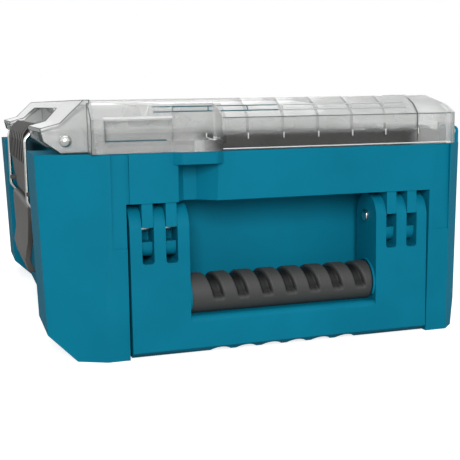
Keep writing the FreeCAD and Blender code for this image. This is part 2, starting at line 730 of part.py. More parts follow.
def lid_eave(body):
    """The slanted eave over the latch, arched in the middle, and the ear plates that hold the latch's rod."""
    root = f"{LID_LEFT} + lid_wall / 2"
    top_edge = f"{LID_LEFT} - eave_top_width"
    knee = f"{LID_LEFT} - eave_break_width"
    edge = f"{LID_LEFT} - eave_width"
    slope = [(root, "lid_height"), (top_edge, "lid_height"), (knee, "eave_break"), (edge, "eave_edge")]
    profile = slope + [(x, f"{z} - eave_thickness") for x, z in (slope[3], slope[2], slope[0])]
    length = f"2 * ({END} - eave_end_gap)"
    extrude(body, "Pad", sketch(body, "XZ_Plane", "0", profile), length, symmetric=True)
    arch = [
        ("-arch_length / 2", "rim_height"),
        ("arch_length / 2", "rim_height"),
        ("arch_length / 2", "arch_height", "(arch_height - eave_edge)"),
        ("-arch_length / 2", "arch_height", "(arch_height - eave_edge)"),
    ]
    extrude(body, "Pocket", sketch(body, "YZ_Plane", LID_LEFT, arch), "eave_width + wall")
    plate_foot = "rim_height + plate_foot_gap"
    plate_top = [(x, f"{z} - eave_thickness / 2") for x, z in slope]
    plate = plate_top + [
        (f"{edge} + plate_heel", "plate_heel_height"),
        (f"{edge} + plate_toe", plate_foot),
        (root, plate_foot),
    ]
    plates = []
    for order in range(EAR_PLATES):
        place_y = f"{END} - eave_end_gap - {order} * plate_pitch"
        plates.append(extrude(body, "Pad", sketch(body, "XZ_Plane", place_y, plate), "plate_thickness", reverse=True))
    inner_plate = sketch(body, "XZ_Plane", "arch_length / 2 + plate_thickness", plate)
    plates.append(extrude(body, "Pad", inner_plate, "plate_thickness", reverse=True))
    mirror_ends(body, plates)
    bore = dict(x=ROD_X, y="latch_rod_height", diameter="latch_rod_diameter + 2 * running_fit")
    extrude(body, "Pocket", sketch(body, "XZ_Plane", "0", bore), "case_length", symmetric=True)


def lid_hinge(body):
    """Knuckles on the hinge side, one between each two ears of the case, and shallow seats for the ears."""
    low = "hinge_height - ear_radius"
    high = "hinge_height + ear_radius"
    outer = f"{HINGE_X} + ear_radius"
    knuckle = [
        (f"{LID_RIGHT} - lid_wall / 2", low),
        (outer, low, "ear_radius - round_relief"),
        (outer, high, "ear_radius - round_relief"),
        (f"{LID_RIGHT} - lid_wall / 2", high),
    ]
    first = sketch(body, "XZ_Plane", "ear_spacing + knuckle_length / 2", knuckle)
    pad = extrude(body, "Pad", first, "knuckle_length", reverse=True)
    row(body, [pad], "Y_Axis", "ear_spacing", HINGE_EARS - 1)
    bore = dict(x=HINGE_X, y="hinge_height", diameter="hinge_pin_diameter + 2 * running_fit")
    extrude(body, "Pocket", sketch(body, "XZ_Plane", "0", bore), "case_length", symmetric=True)
    seat_left = f"{HINGE_X} - ear_radius - ear_clearance"
    seat_half = "(ear_length / 2 + ear_clearance)"
    seats = []
    for order in range(HINGE_EARS):
        middle = f"({order} - {(HINGE_EARS - 1) / 2}) * ear_spacing"
        seats.append(rectangle(seat_left, HINGE_SIDE, f"{middle} - {seat_half}", f"{middle} + {seat_half}"))
    extrude(body, "Pocket", sketch(body, "XY_Plane", "lid_height", *seats), f"lid_height - {LID_FOOT} + overlap")


def cylinder(label, axis, start, radius, length):
    """A plain round pin along X or Y from its start (x, y, z)."""
    pin = doc.addObject("Part::Cylinder", label)
    pin.Label = label
    pin.setExpression("Radius", bound(radius))
    pin.setExpression("Height", bound(length))
    turns = {"X": FreeCAD.Rotation(Vector(0, 1, 0), 90), "Y": FreeCAD.Rotation(Vector(1, 0, 0), -90)}
    pin.Placement = FreeCAD.Placement(Vector(), turns[axis])
    for name, spot in zip("xyz", start):
        pin.setExpression(f"Placement.Base.{name}", bound(spot))
    return pin


def make_hinge_pin():
    """The steel pin through the hinge ears and knuckles."""
    half = f"({(HINGE_EARS - 1) / 2} * ear_spacing + ear_length / 2)"
    cylinder("hinge_pin", "Y", (HINGE_X, f"-{half}", "hinge_height"), "hinge_pin_diameter / 2", f"2 * {half}")


def make_latch_rod():
    """The steel rod in the lid's ear plates, which the bail swings on."""
    half = f"({END} - eave_end_gap + lid_gap)"
    cylinder("latch_rod", "Y", (ROD_X, f"-{half}", "latch_rod_height"), "latch_rod_diameter / 2", f"2 * {half}")


def bent_run(points, radii):
    """Points of a bent wire through corner points, each inner one bent in short straight steps round its radius."""
    run = [points[0]]
    for back, here, onward, radius in zip(points, points[1:], points[2:], radii):
        to_back = (back - here).normalize()
        to_onward = (onward - here).normalize()
        half = to_back.getAngle(to_onward) / 2
        middle = here + (to_back + to_onward).normalize() * (radius / math.sin(half))
        spoke = here + to_back * (radius / math.tan(half)) - middle
        last_spoke = here + to_onward * (radius / math.tan(half)) - middle
        bend = FreeCAD.Rotation(spoke, last_spoke)
        for step in range(BEND_STEPS + 1):
            share = FreeCAD.Rotation(bend.Axis, math.degrees(bend.Angle) * step / BEND_STEPS)
            run.append(middle + share.multVec(spoke))
    run.append(points[-1])
    return run


def make_latch_bail():
    """The bent steel wire: a sleeve on the rod at each end, two arms over the side and a crossbar below."""
    wire = number("wire_diameter / 2")
    rod = Vector(number(ROD_X), 0, number("latch_rod_height"))
    hole = number("latch_rod_diameter / 2 + running_fit")
    corners = [
        (rod.x, rod.z + hole + wire),
        (number(f"{ROD_X} - wire_top_reach"), number("wire_top")),
        (number(WIRE_X), number("wire_shoulder")),
        (number(WIRE_X), number("crossbar_height + wire_foot_rise")),
        (number(CROSSBAR_X), number("crossbar_height")),
    ]
    half = number("wire_spacing / 2")
    near = [Vector(x, -half, z) for x, z in corners]
    far = [Vector(x, half, z) for x, z in reversed(corners)]
    bend, corner_bend = number("wire_bend"), number("wire_corner_bend")
    run = bent_run(near + far, [bend] * 3 + [corner_bend] * 2 + [bend] * 3)
    facing = FreeCAD.Rotation(Vector(0, 0, 1), run[1] - run[0])
    angles = [2 * math.pi * flat / WIRE_FLATS for flat in range(WIRE_FLATS + 1)]
    rim = [run[0] + facing.multVec(Vector(math.cos(angle), math.sin(angle), 0)) * wire for angle in angles]
    bail_shape = Part.makePolygon(run).makePipeShell([Part.makePolygon(rim)], True, False, 1)
    sleeve = number("sleeve_length")
    for end in (-half, half):
        start = rod + Vector(0, end - sleeve / 2, 0)
        bail_shape = bail_shape.fuse(Part.makeCylinder(hole + 2 * wire, sleeve, start, Vector(0, 1, 0)))
        bail_shape = bail_shape.cut(Part.makeCylinder(hole, sleeve, start, Vector(0, 1, 0)))
    bail = doc.addObject("Part::Feature", "latch_bail")
    bail.Label = "latch_bail"
    bail.Shape = bail_shape.removeSplitter()
    return bail


def make_latch_plate():
    """The dark cover between the arms of the bail, grooved outside, with a flange behind each arm."""
    body = new_body("latch_plate")
    top_x = f"{ROD_X} - wire_top_reach"
    half = "(cover_thickness / 2)"
    profile = [
        (f"{WIRE_X} - {half}", "cover_foot"),
        (f"{WIRE_X} - {half}", f"wire_shoulder + {half} / 2"),
        (f"{top_x} - cover_top_half", "wire_top + cover_top_half"),
        (f"{top_x} + cover_top_half", "wire_top - cover_top_half"),
        (f"{WIRE_X} + {half}", f"wire_shoulder - {half} / 2"),
        (f"{WIRE_X} + {half}", "cover_foot"),
    ]
    width = "wire_spacing - wire_diameter - 2 * cover_side_gap"
    extrude(body, "Pad", sketch(body, "XZ_Plane", "0", profile), width, symmetric=True)
    flange_front = f"{WIRE_X} + wire_diameter / 2 + running_fit"
    flange = rectangle(flange_front, f"{flange_front} + cover_flange", "cover_foot", "wire_shoulder - wire_bend")
    flange_width = "wire_spacing + 2 * cover_flange_reach"
    extrude(body, "Pad", sketch(body, "XZ_Plane", "0", flange), flange_width, symmetric=True)
    span = f"{COVER_GROOVES - 1} * cover_groove_pitch"
    left = f"-({span}) / 2 - cover_groove / 2"
    groove = rectangle(left, f"{left} + cover_groove", "cover_groove_foot", "lid_height")
    floor_x = f"{WIRE_X} - {half} + cover_groove_depth"
    cut = extrude(body, "Pocket", sketch(body, "YZ_Plane", floor_x, groove), "cover_thickness")
    row(body, [cut], "Y_Axis", "cover_groove_pitch", COVER_GROOVES)


def make_latch_lever():
    """The dark lever that hangs on the bail's crossbar, with a flared finger edge and a claw behind."""
    body = new_body("latch_lever")
    outer = f"({LATCH_SIDE} + lever_inset)"
    inner = f"({outer} + lever_thickness)"
    flare = f"({LATCH_SIDE} + lever_flare_inset)"
    knuckle_top = "crossbar_height + lever_knuckle"
    knuckle_foot = "crossbar_height - lever_knuckle"
    knuckle_back = f"{CROSSBAR_X} + lever_knuckle"
    keeper_face = f"({LATCH_SIDE} + latch_recess_depth - keeper_depth)"
    claw_top = "claw_level + claw_height / 2"
    claw_foot = "claw_level - claw_height / 2"
    profile = [
        (outer, knuckle_top, "lever_round"),
        (knuckle_back, knuckle_top, "lever_knuckle - round_relief"),
        (knuckle_back, knuckle_foot, "lever_round"),
        (inner, f"{knuckle_foot} - lever_thickness / 4"),
        (inner, claw_top),
        (f"{keeper_face} - claw_gap", claw_top),
        (f"{keeper_face} - claw_gap", claw_foot),
        (inner, f"{claw_foot} - claw_root"),
        (inner, "lever_waist"),
        (f"{flare} + lever_thickness", "lever_flare"),
        (f"{inner} + lever_thickness / 4", "lever_tip"),
        (outer, "lever_tip"),
        (flare, "lever_flare", "lever_thickness"),
        (outer, "lever_waist"),
    ]
    extrude(body, "Pad", sketch(body, "XZ_Plane", "0", profile), "lever_width", symmetric=True)
    bore = dict(x=CROSSBAR_X, y="crossbar_height", diameter="wire_diameter + 2 * running_fit")
    extrude(body, "Pocket", sketch(body, "XZ_Plane", "0", bore), "lever_width + overlap", symmetric=True)
    taper = [
        ("lever_width / 2 + overlap", "lever_taper_top"),
        ("lever_width / 2", "lever_taper_top"),
        ("lever_tip_width / 2", "lever_waist - lever_thickness"),
        ("lever_tip_width / 2", "lever_tip - overlap"),
        ("lever_width / 2 + overlap", "lever_tip - overlap"),
    ]
    other = [(f"-({y})", z) for y, z in taper]
    cut = sketch(body, "YZ_Plane", f"{LATCH_SIDE} + latch_recess_depth", taper, other)
    extrude(body, "Pocket", cut, "latch_recess_depth + wall")


def make_handle(end):
    """A folding handle: two arms with three hinge fingers each, a bar with a scalloped foot and a square core."""
    body = new_body(f"handle_{end}")
    front = f"-{HANDLE_FRONT}"
    back = f"-({HANDLE_FRONT} - handle_depth)"
    tip = "(handle_depth / 2 - round_relief)"
    arm_top = "pivot_height + handle_depth / 2"
    bar_top = "handle_foot + bar_height"
    foot = [
        (front, "handle_foot + bar_bevel_height"),
        (f"{front} + bar_bevel_depth", "handle_foot"),
        (back, "handle_foot", "bar_round"),
    ]
    for left in ARMS:
        arm = foot + [(back, arm_top, tip), (front, arm_top, tip)]
        extrude(body, "Pad", sketch(body, "YZ_Plane", left, arm), "arm_width")
    bar = foot + [(back, bar_top, "bar_round"), (front, bar_top, "bar_round")]
    bar_left = f"{ARMS[0]} + arm_width - overlap"
    bar_length = f"{GRIP_LENGTH} + 2 * overlap"
    extrude(body, "Pad", sketch(body, "YZ_Plane", bar_left, bar), bar_length)
    extrude(body, "Pad", sketch(body, "YZ_Plane", bar_left, grip_core("0")), bar_length)
    slots = []
    for left in ARMS:
        for order in (1, 2):
            slot_left = f"{left} + {order} * {FINGER} + {order - 1} * slot_width"
            slot_right = f"{slot_left} + slot_width"
            floor = [(slot_left, "slot_foot", "slot_round"), (slot_right, "slot_foot", "slot_round")]
            slots.append(floor + [(slot_right, f"{arm_top} + overlap"), (slot_left, f"{arm_top} + overlap")])
    extrude(body, "Pocket", sketch(body, "XZ_Plane", "0", *slots), "case_length", reverse=True)
    bore = dict(x=f"-{PIVOT_Y}", y="pivot_height", diameter="handle_pin_diameter + 2 * running_fit")
    extrude(body, "Pocket", sketch(body, "YZ_Plane", "0", bore), "2 * case_width", symmetric=True)
    scallop = dict(
        x=f"handle_shift - {(BAR_SCALLOPS - 1) / 2} * bar_scallop_pitch",
        y="handle_foot + bar_scallop_depth - bar_scallop_radius",
        diameter="2 * bar_scallop_radius",
    )
    cut = extrude(body, "Pocket", sketch(body, "XZ_Plane", "0", scallop), "case_length", reverse=True)
    row(body, [cut], "X_Axis", "bar_scallop_pitch", BAR_SCALLOPS)
    turn_to_end(body, end)


def grip_core(clearance):
    """Outline of the square core that keeps the grip from turning, or of the grip's hole with a clearance."""
    half = f"(grip_core / 2 + {clearance})"
    return rectangle(f"-{PIVOT_Y} - {half}", f"-{PIVOT_Y} + {half}", f"{GRIP_HEIGHT} - {half}", f"{GRIP_HEIGHT} + {half}")


def turn_to_end(body, end):
    """Leave a near piece where it is, or turn it half round to the far end."""
    if end == "far":
        body.Placement = FreeCAD.Placement(Vector(), FreeCAD.Rotation(Vector(0, 0, 1), 180))
        body.setExpression("Placement.Base.x", bound("2 * handle_shift"))


def make_grip(end):
    """The rubber sleeve round the handle's core, scooped out for the fingers, cut flat where it sits on the bar."""
    body = new_body(f"grip_{end}")
    length = f"({GRIP_LENGTH} - 2 * handle_gap)"
    sleeve = dict(x=f"-{PIVOT_Y}", y=GRIP_HEIGHT, diameter="grip_diameter")
    extrude(body, "Pad", sketch(body, "YZ_Plane", f"handle_shift - {length} / 2", sleeve), length)
    extrude(body, "Pocket", sketch(body, "YZ_Plane", "0", grip_core("running_fit")), "2 * case_width", symmetric=True)
    below = rectangle(LATCH_SIDE, HINGE_SIDE, f"-{HANDLE_FRONT}", f"-({HANDLE_FRONT} - handle_depth)")
    extrude(body, "Pocket", sketch(body, "XY_Plane", "handle_foot + bar_height", below), "grip_diameter")
    scoop = dict(
        x=f"handle_shift - {(GRIP_SCOOPS - 1) / 2} * scoop_pitch",
        y="grip_diameter / 2 - scoop_depth + scoop_radius",
        diameter="2 * scoop_radius",
    )
    scoops = []
    for tilt in ("scoop_tilt", "-scoop_tilt"):
        drawing = sketch(body, "XZ_Plane", PIVOT_Y, scoop)
        drawing.AttachmentOffset = FreeCAD.Placement(Vector(), FreeCAD.Rotation(Vector(1, 0, 0), number(tilt)))
        drawing.setExpression("AttachmentOffset.Base.y", bound(GRIP_HEIGHT))
        drawing.setExpression("AttachmentOffset.Base.z", bound(PIVOT_Y))
        drawing.setExpression("AttachmentOffset.Rotation.Angle", bound(tilt))
        scoops.append(extrude(body, "Pocket", drawing, "2 * grip_diameter", symmetric=True))
    row(body, scoops, "X_Axis", "scoop_pitch", GRIP_SCOOPS)
    turn_to_end(body, end)


def make_handle_pin(end, side):
    """A headed steel pin through an arm's fingers and the case's lugs, its head on the arm's inner face."""
    body = new_body(f"handle_pin_{end}_{side}")
    middle = dict(x=f"-{PIVOT_Y}", y="pivot_height")
    if side == "left":
        shaft_left = f"{ARMS[0]} + pin_end_gap"
        head_left = f"{ARMS[0]} + arm_width + running_fit"
    else:
        shaft_left = f"{ARMS[1]} - pin_head_height"
        head_left = f"{ARMS[1]} - pin_head_height - running_fit"
    shaft_length = "arm_width - pin_end_gap + pin_head_height"
    shaft = dict(middle, diameter="handle_pin_diameter")
    extrude(body, "Pad", sketch(body, "YZ_Plane", shaft_left, shaft), shaft_length)
    head = dict(middle, diameter="pin_head_diameter")
    extrude(body, "Pad", sketch(body, "YZ_Plane", head_left, head), "pin_head_height")
    turn_to_end(body, end)


def make_tray(end):
    """A tray with a row of small pockets with arched walls, and one wider bay towards the latch."""
    body = new_body(f"tray_{end}")
    bay_left = f"({TRAY_LEFT} - tray_bay_width)"
    profile = [(bay_left, "tray_height"), (bay_left, SHELF), (TRAY_RIGHT, SHELF), (TRAY_RIGHT, "tray_height")]
    for order in reversed(range(TRAY_POCKETS)):
        middle = f"{TRAY_LEFT} + {order + 0.5} * tray_pitch"
        profile.append((middle, "tray_height + tray_arch_rise", "tray_arch_radius"))
        profile.append((f"{TRAY_LEFT} + {order} * tray_pitch", "tray_height"))
    front = TRAY_FRONT if end == "near" else f"-{TRAY_BACK}"
    extrude(body, "Pad", sketch(body, "XZ_Plane", front, profile), f"{TRAY_FRONT} - {TRAY_BACK}", reverse=True)
    sign = "-" if end == "near" else ""
    low, high = sorted((TRAY_FRONT, TRAY_BACK), key=number, reverse=(end == "near"))
    low = f"{sign}{low} + tray_wall"
    high = f"{sign}{high} - tray_wall"
    mouth = "tray_height + tray_arch_rise"
    depth = f"{mouth} - {SHELF} - tray_floor"
    half_wall = "tray_wall / 2"
    cell = rectangle(f"{TRAY_LEFT} + {half_wall}", f"{TRAY_LEFT} + tray_pitch - {half_wall}", low, high)
    cut = extrude(body, "Pocket", sketch(body, "XY_Plane", mouth, cell), depth)
    row(body, [cut], "X_Axis", "tray_pitch", TRAY_POCKETS)
    bay = rectangle(f"{bay_left} + tray_wall", f"{TRAY_LEFT} - {half_wall}", low, high)
    extrude(body, "Pocket", sketch(body, "XY_Plane", mouth, bay), depth)


def make_bin(column, line):
    """One lift-out bin of the deep middle."""
    body = new_body(f"bin_{column + BIN_COLUMNS * line + 1}")
    room_left = f"({TRAY_LEFT} - tray_bay_width)"
    pitch_x = f"(({TRAY_RIGHT} - {room_left} + bin_gap) / {BIN_COLUMNS})"
    pitch_y = f"(2 * {MIDDLE_END} / {BIN_ROWS})"
    left = f"({room_left} + {column} * {pitch_x})"
    right = f"({left} + {pitch_x} - bin_gap)"
    low = f"(-{MIDDLE_END} + {line} * {pitch_y} + bin_gap / 2)"
    high = f"({low} + {pitch_y} - bin_gap)"
    outside = rectangle(left, right, low, high, "bin_round")
    extrude(body, "Pad", sketch(body, "XY_Plane", "floor_thickness", outside), "bin_height - floor_thickness")
    inside = rectangle(
        f"{left} + bin_wall",
        f"{right} - bin_wall",
        f"{low} + bin_wall",
        f"{high} - bin_wall",
        "(bin_round - bin_wall)",
    )
    extrude(body, "Pocket", sketch(body, "XY_Plane", "bin_height", inside), "bin_height - floor_thickness - bin_wall")


def make_all():
    """Every piece of the box."""
    make_case()
    make_lid()
    make_hinge_pin()
    make_latch_rod()
    make_latch_bail()
    make_latch_plate()
    make_latch_lever()
    for end in ("near", "far"):
        make_handle(end)
        make_grip(end)
        for side in ("left", "right"):
            make_handle_pin(end, side)
        make_tray(end)
    for line in range(BIN_ROWS):
        for column in range(BIN_COLUMNS):
            make_bin(column, line)


def write_pieces():
    """Check every object and write each piece to its own file."""
    doc.recompute()
    for item in doc.Objects:
        if "Invalid" in item.State or "Error" in item.State:
            raise RuntimeError(f"{item.Name} failed: {item.State}")
    kinds = ("PartDesign::Body", "Part::Cylinder", "Part::Feature")
    pieces = [item for item in doc.Objects if item.TypeId in kinds]
    for piece in pieces:
        if piece.Shape.isNull() or not piece.Shape.isValid():
            raise RuntimeError(f"{piece.Label} has no valid shape")
        print(piece.Label, len(piece.Shape.Solids), round(piece.Shape.Volume), piece.Shape.BoundBox)
    os.makedirs("parts", exist_ok=True)
    for piece in pieces:
        piece.Shape.exportStep(f"parts/{piece.Label}.step")


make_all()
write_pieces()
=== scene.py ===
"""Dresses the compartment storage box: finishes, rounded edges and small turned or moulded pieces."""
import logging
import math
from abc import ABC, abstractmethod
from dataclasses import dataclass
from enum import Enum
from functools import cached_property

import bmesh
import bpy
from mathutils import Matrix, Vector
from mathutils.bvhtree import BVHTree


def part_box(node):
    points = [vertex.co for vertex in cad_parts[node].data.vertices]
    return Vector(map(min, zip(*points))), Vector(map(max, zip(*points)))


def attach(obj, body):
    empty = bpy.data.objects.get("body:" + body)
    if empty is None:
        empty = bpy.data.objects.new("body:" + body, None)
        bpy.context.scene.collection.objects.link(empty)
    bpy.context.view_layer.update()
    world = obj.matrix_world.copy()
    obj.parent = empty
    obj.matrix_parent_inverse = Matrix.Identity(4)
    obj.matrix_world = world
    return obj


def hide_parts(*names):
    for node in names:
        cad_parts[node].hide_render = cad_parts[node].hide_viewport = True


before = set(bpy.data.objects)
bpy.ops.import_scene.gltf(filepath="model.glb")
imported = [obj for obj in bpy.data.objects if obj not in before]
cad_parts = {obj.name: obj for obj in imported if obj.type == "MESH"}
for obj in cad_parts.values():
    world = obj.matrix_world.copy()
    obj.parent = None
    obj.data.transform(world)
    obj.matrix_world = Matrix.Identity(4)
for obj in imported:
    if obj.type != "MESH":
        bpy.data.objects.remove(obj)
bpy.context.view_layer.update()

LOG = logging.getLogger("storage_box")
MM = 0.001
SAME_POINT_MM = 0.001
EDGE_STEPS = 2
DOME_STEPS = 6
TURN_STEPS = 32


class Side(Enum):
    """The two ends of the box, with the sign of Y at each."""

    NEAR = -1
    FAR = 1

    @property
    def word(self) -> str:
        """The end's name as the frame spells it."""
        return self.name.lower()


class Hand(Enum):
    """The two arms of a handle, as its pins are named."""

    LEFT = "left"
    RIGHT = "right"


class Edge(Enum):
    """The small edge radius of each kind of piece, in millimetres."""

    MOULDED = 0.6
    CLEAR = 0.5
    THIN = 0.4
    METAL = 0.2


class Body(Enum):
    """The bodies of the frame that added pieces ride on."""

    CASE = "case"
    LID = "lid"
    BAIL = "bail"
    HANDLE_NEAR = "handle_near"
    HANDLE_FAR = "handle_far"


def extent(name: str) -> tuple[Vector, Vector]:
    """The lowest and the highest corner of a node's box, in metres."""
    low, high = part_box(name)
    return Vector(low), Vector(high)


def grip_middle(side: Side) -> tuple[Vector, float]:
    """Find the round part of a grip, which is cut flat underneath.

    Args:
        side: which end.

    Returns:
        The middle of its axis and its radius, in metres.
    """
    low, high = extent(f"grip_{side.word}")
    radius = (high.y - low.y) / 2
    return Vector(((low.x + high.x) / 2, (low.y + high.y) / 2, high.z - radius)), radius


def linear(colour: str) -> tuple[float, float, float, float]:
    """Turn an sRGB hex colour into linear light.

    Args:
        colour: six hex digits after a hash.

    Returns:
        Red, green and blue, and full opacity.
    """
    shares = [int(colour[place:place + 2], 16) / 255 for place in (1, 3, 5)]
    lit = [share / 12.92 if share <= 0.04045 else ((share + 0.055) / 1.055) ** 2.4 for share in shares]
    return (*lit, 1.0)


def per_mm(size: float) -> float:
    """The texture scale at which one feature is about so many millimetres wide."""
    return 1.0 / (size * MM)


def add_node(
    tree: bpy.types.NodeTree,
    kind: str,
    inputs: dict | None = None,
    stops: tuple[tuple[float, str], ...] = (),
    **settings: object,
) -> bpy.types.Node:
    """Add a shader node, set it up and link it.

    Args:
        tree: the material's node tree.
        kind: the node's type name.
        inputs: socket name or number to a plain value or to another node's output socket.
        stops: the places and hex colours of a colour ramp's two ends.
        settings: attributes of the node itself.

    Returns:
        The new node.
    """
    node = tree.nodes.new(kind)
    for name, value in settings.items():
        setattr(node, name, value)
    for name, value in (inputs or {}).items():
        if isinstance(value, bpy.types.NodeSocket):
            tree.links.new(value, node.inputs[name])
        else:
            node.inputs[name].default_value = value
    for number, (place, colour) in enumerate(stops):
        node.color_ramp.elements[number].position = place
        node.color_ramp.elements[number].color = linear(colour)
    return node


@dataclass(frozen=True)
class Finish(ABC):
    """What all finishes share: a name, and one surface that each kind of finish drives in its own way."""

    name: str

    @abstractmethod
    def surface(self, tree: bpy.types.NodeTree) -> dict:
        """Add the nodes that drive the surface.

        Args:
            tree: the material's node tree.

        Returns:
            The surface's inputs, as add_node takes them.
        """

    def build(self) -> bpy.types.Material:
        """Make the material.

        Returns:
            The new material.
        """
        material = bpy.data.materials.new(self.name)
        material.use_nodes = True
        tree = material.node_tree
        tree.nodes.clear()
        skin = add_node(tree, "ShaderNodeBsdfPrincipled", self.surface(tree))
        add_node(tree, "ShaderNodeOutputMaterial", {"Surface": skin.outputs["BSDF"]})
        return material


@dataclass(frozen=True)
class MouldedPlastic(Finish):
    """Injection-moulded plastic with a spark-eroded grain: even colour, soft broad highlights."""

    colour: str
    shade: str
    roughness: float
    gloss_spread: float = 0.06
    # Real grain is nearer 0.1 mm; it is drawn this coarse so that it shows from close by
    grain_mm: float = 0.7
    grain_depth: float = 0.10
    grain_height_mm: float = 0.1
    cloud_mm: float = 55.0
    sheen: float = 0.06

    def surface(self, tree: bpy.types.NodeTree) -> dict:
        """Give a mottled tone, a fine grain and roughness that varies with it.

        Args:
            tree: the material's node tree.

        Returns:
            The surface's inputs.
        """
        place = add_node(tree, "ShaderNodeTexCoord").outputs["Object"]
        cloud = add_node(
            tree, "ShaderNodeTexNoise", {"Vector": place, "Scale": per_mm(self.cloud_mm), "Detail": 3.0}
        )
        stops = ((0.30, self.shade), (0.72, self.colour))
        tone = add_node(tree, "ShaderNodeValToRGB", {"Fac": cloud.outputs["Fac"]}, stops)
        grain = add_node(
            tree, "ShaderNodeTexNoise", {"Vector": place, "Scale": per_mm(self.grain_mm), "Detail": 2.0}
        )
        gloss = add_node(
            tree,
            "ShaderNodeMapRange",
            {
                "Value": grain.outputs["Fac"],
                "To Min": self.roughness - self.gloss_spread,
                "To Max": self.roughness + self.gloss_spread,
            },
        )
        relief = add_node(
            tree,
            "ShaderNodeBump",
            {
                "Height": grain.outputs["Fac"],
                "Strength": self.grain_depth,
                "Distance": self.grain_height_mm * MM,
            },
        )
        return {
            "Base Color": tone.outputs["Color"],
            "Roughness": gloss.outputs["Result"],
            "Normal": relief.outputs["Normal"],
            "Specular IOR Level": self.sheen,
        }


@dataclass(frozen=True)
class ClearPlastic(Finish):
    """Clear moulded polycarbonate: the skirt is polished, and the top and both sides are hazed; the haze on
    the top whitens it as a painted reflection of the bright surround.
    """

    name: str = "clear_polycarbonate"
    colour: str = "#fbfcfb"
    haze: str = "#f0f2f0"
    polished: float = 0.02
    dulled: float = 0.07
    ior: float = 1.55
    skirt_clearness: float = 0.98
    # The top's lower clearness is a painted reflection: it whitens the top as the bright surround would
    top_clearness: float = 0.73
    latch_end_clearness: float = 0.78
    hinge_end_clearness: float = 0.82
    skirt_mm: float = 141.5
    top_mm: float = 148.0
    # X of the clear window: the haze fades out over the first two and comes back over the last two
    window_mm: tuple[float, ...] = (-46.0, -36.0, 102.0, 112.0)
    flow_mm: float = 28.0

    def surface(self, tree: bpy.types.NodeTree) -> dict:
        """Give mostly transmission, with a hazy share that scatters light.

        Args:
            tree: the material's node tree.

        Returns:
            The surface's inputs.
        """
        place = add_node(tree, "ShaderNodeTexCoord").outputs["Object"]
        flow = add_node(
            tree,
            "ShaderNodeTexNoise",
            {"Vector": place, "Scale": per_mm(self.flow_mm), "Detail": 2.0, "Distortion": 0.8},
        )
        stops = ((0.3, self.haze), (0.7, self.colour))
        tone = add_node(tree, "ShaderNodeValToRGB", {"Fac": flow.outputs["Fac"]}, stops)
        gloss = add_node(
            tree,
            "ShaderNodeMapRange",
            {"Value": flow.outputs["Fac"], "To Min": self.polished, "To Max": self.dulled},
        )
        apart = add_node(tree, "ShaderNodeSeparateXYZ", {"Vector": place})
        left, left_end, right, right_end = self.window_mm
        # Less clear at the top, as painted reflection, and less clear towards both ends
        spans = (
            ("Z", self.skirt_mm, self.top_mm, self.top_clearness),
            ("X", left_end, left, self.latch_end_clearness),
            ("X", right, right_end, self.hinge_end_clearness),
        )
        shares = [
            add_node(
                tree,
                "ShaderNodeMapRange",
                {
                    "Value": apart.outputs[axis],
                    "From Min": start * MM,
                    "From Max": stop * MM,
                    "To Min": self.skirt_clearness,
                    "To Max": least,
                },
            ).outputs["Result"]
            for axis, start, stop, least in spans
        ]
        ends = add_node(tree, "ShaderNodeMath", {0: shares[1], 1: shares[2]}, operation="MINIMUM")
        clearness = add_node(tree, "ShaderNodeMath", {0: shares[0], 1: ends.outputs[0]}, operation="MINIMUM")
        return {
            "Base Color": tone.outputs["Color"],
            "Roughness": gloss.outputs["Result"],
            "IOR": self.ior,
            "Transmission Weight": clearness.outputs[0],
        }


@dataclass(frozen=True)
class GripRubber(Finish):
    """Moulded black rubber, with painted light on the rib tops and painted shade in the hollows between them.
    """

    name: str = "black_rubber"
    # Painted light on the rib tops (top) and painted shade in the hollows (hollow)
    top: str = "#3a3b3a"
    hollow: str = "#0c0d0d"
    roughness: float = 0.55
    sheen: float = 0.25
    # Coarser than real rubber's grain, so that it shows from close by
    grain_mm: float = 0.6
    grain_depth: float = 0.3
    grain_height_mm: float = 0.1
    painted_light_radius_mm: float = 13.4
    painted_shade_radius_mm: float = 10.9

    def surface(self, tree: bpy.types.NodeTree) -> dict:
        """Give painted light and shade: a tone that is lighter at the rib tops and darker in the hollows, by
        the distance from a grip's middle line; the grips mirror each other.

        Args:
            tree: the material's node tree.

        Returns:
            The surface's inputs.
        """
        middle = grip_middle(Side.NEAR)[0]
        place = add_node(tree, "ShaderNodeTexCoord").outputs["Object"]
        folded = add_node(tree, "ShaderNodeVectorMath", {0: place}, operation="ABSOLUTE")
        no_x = (0.0, 1.0, 1.0)
        centre = (0.0, abs(middle.y), middle.z)
        flat = add_node(tree, "ShaderNodeVectorMath", {0: folded.outputs[0], 1: no_x}, operation="MULTIPLY")
        reach = add_node(tree, "ShaderNodeVectorMath", {0: flat.outputs[0], 1: centre}, operation="DISTANCE")
        rise = add_node(
            tree,
            "ShaderNodeMapRange",
            {
                "Value": reach.outputs["Value"],
                "From Min": self.painted_shade_radius_mm * MM,
                "From Max": self.painted_light_radius_mm * MM,
            },
        )
        # Painted shade deep in the hollows, painted light at the rib tops
        stops = ((0.0, self.hollow), (1.0, self.top))
        tone = add_node(tree, "ShaderNodeValToRGB", {"Fac": rise.outputs["Result"]}, stops)
        grain = add_node(
            tree, "ShaderNodeTexNoise", {"Vector": place, "Scale": per_mm(self.grain_mm), "Detail": 2.0}
        )
        relief = add_node(
            tree,
            "ShaderNodeBump",
            {
                "Height": grain.outputs["Fac"],
                "Strength": self.grain_depth,
                "Distance": self.grain_height_mm * MM,
            },
        )
        return {
            "Base Color": tone.outputs["Color"],
            "Roughness": self.roughness,
            "Normal": relief.outputs["Normal"],
            "Specular IOR Level": self.sheen,
        }


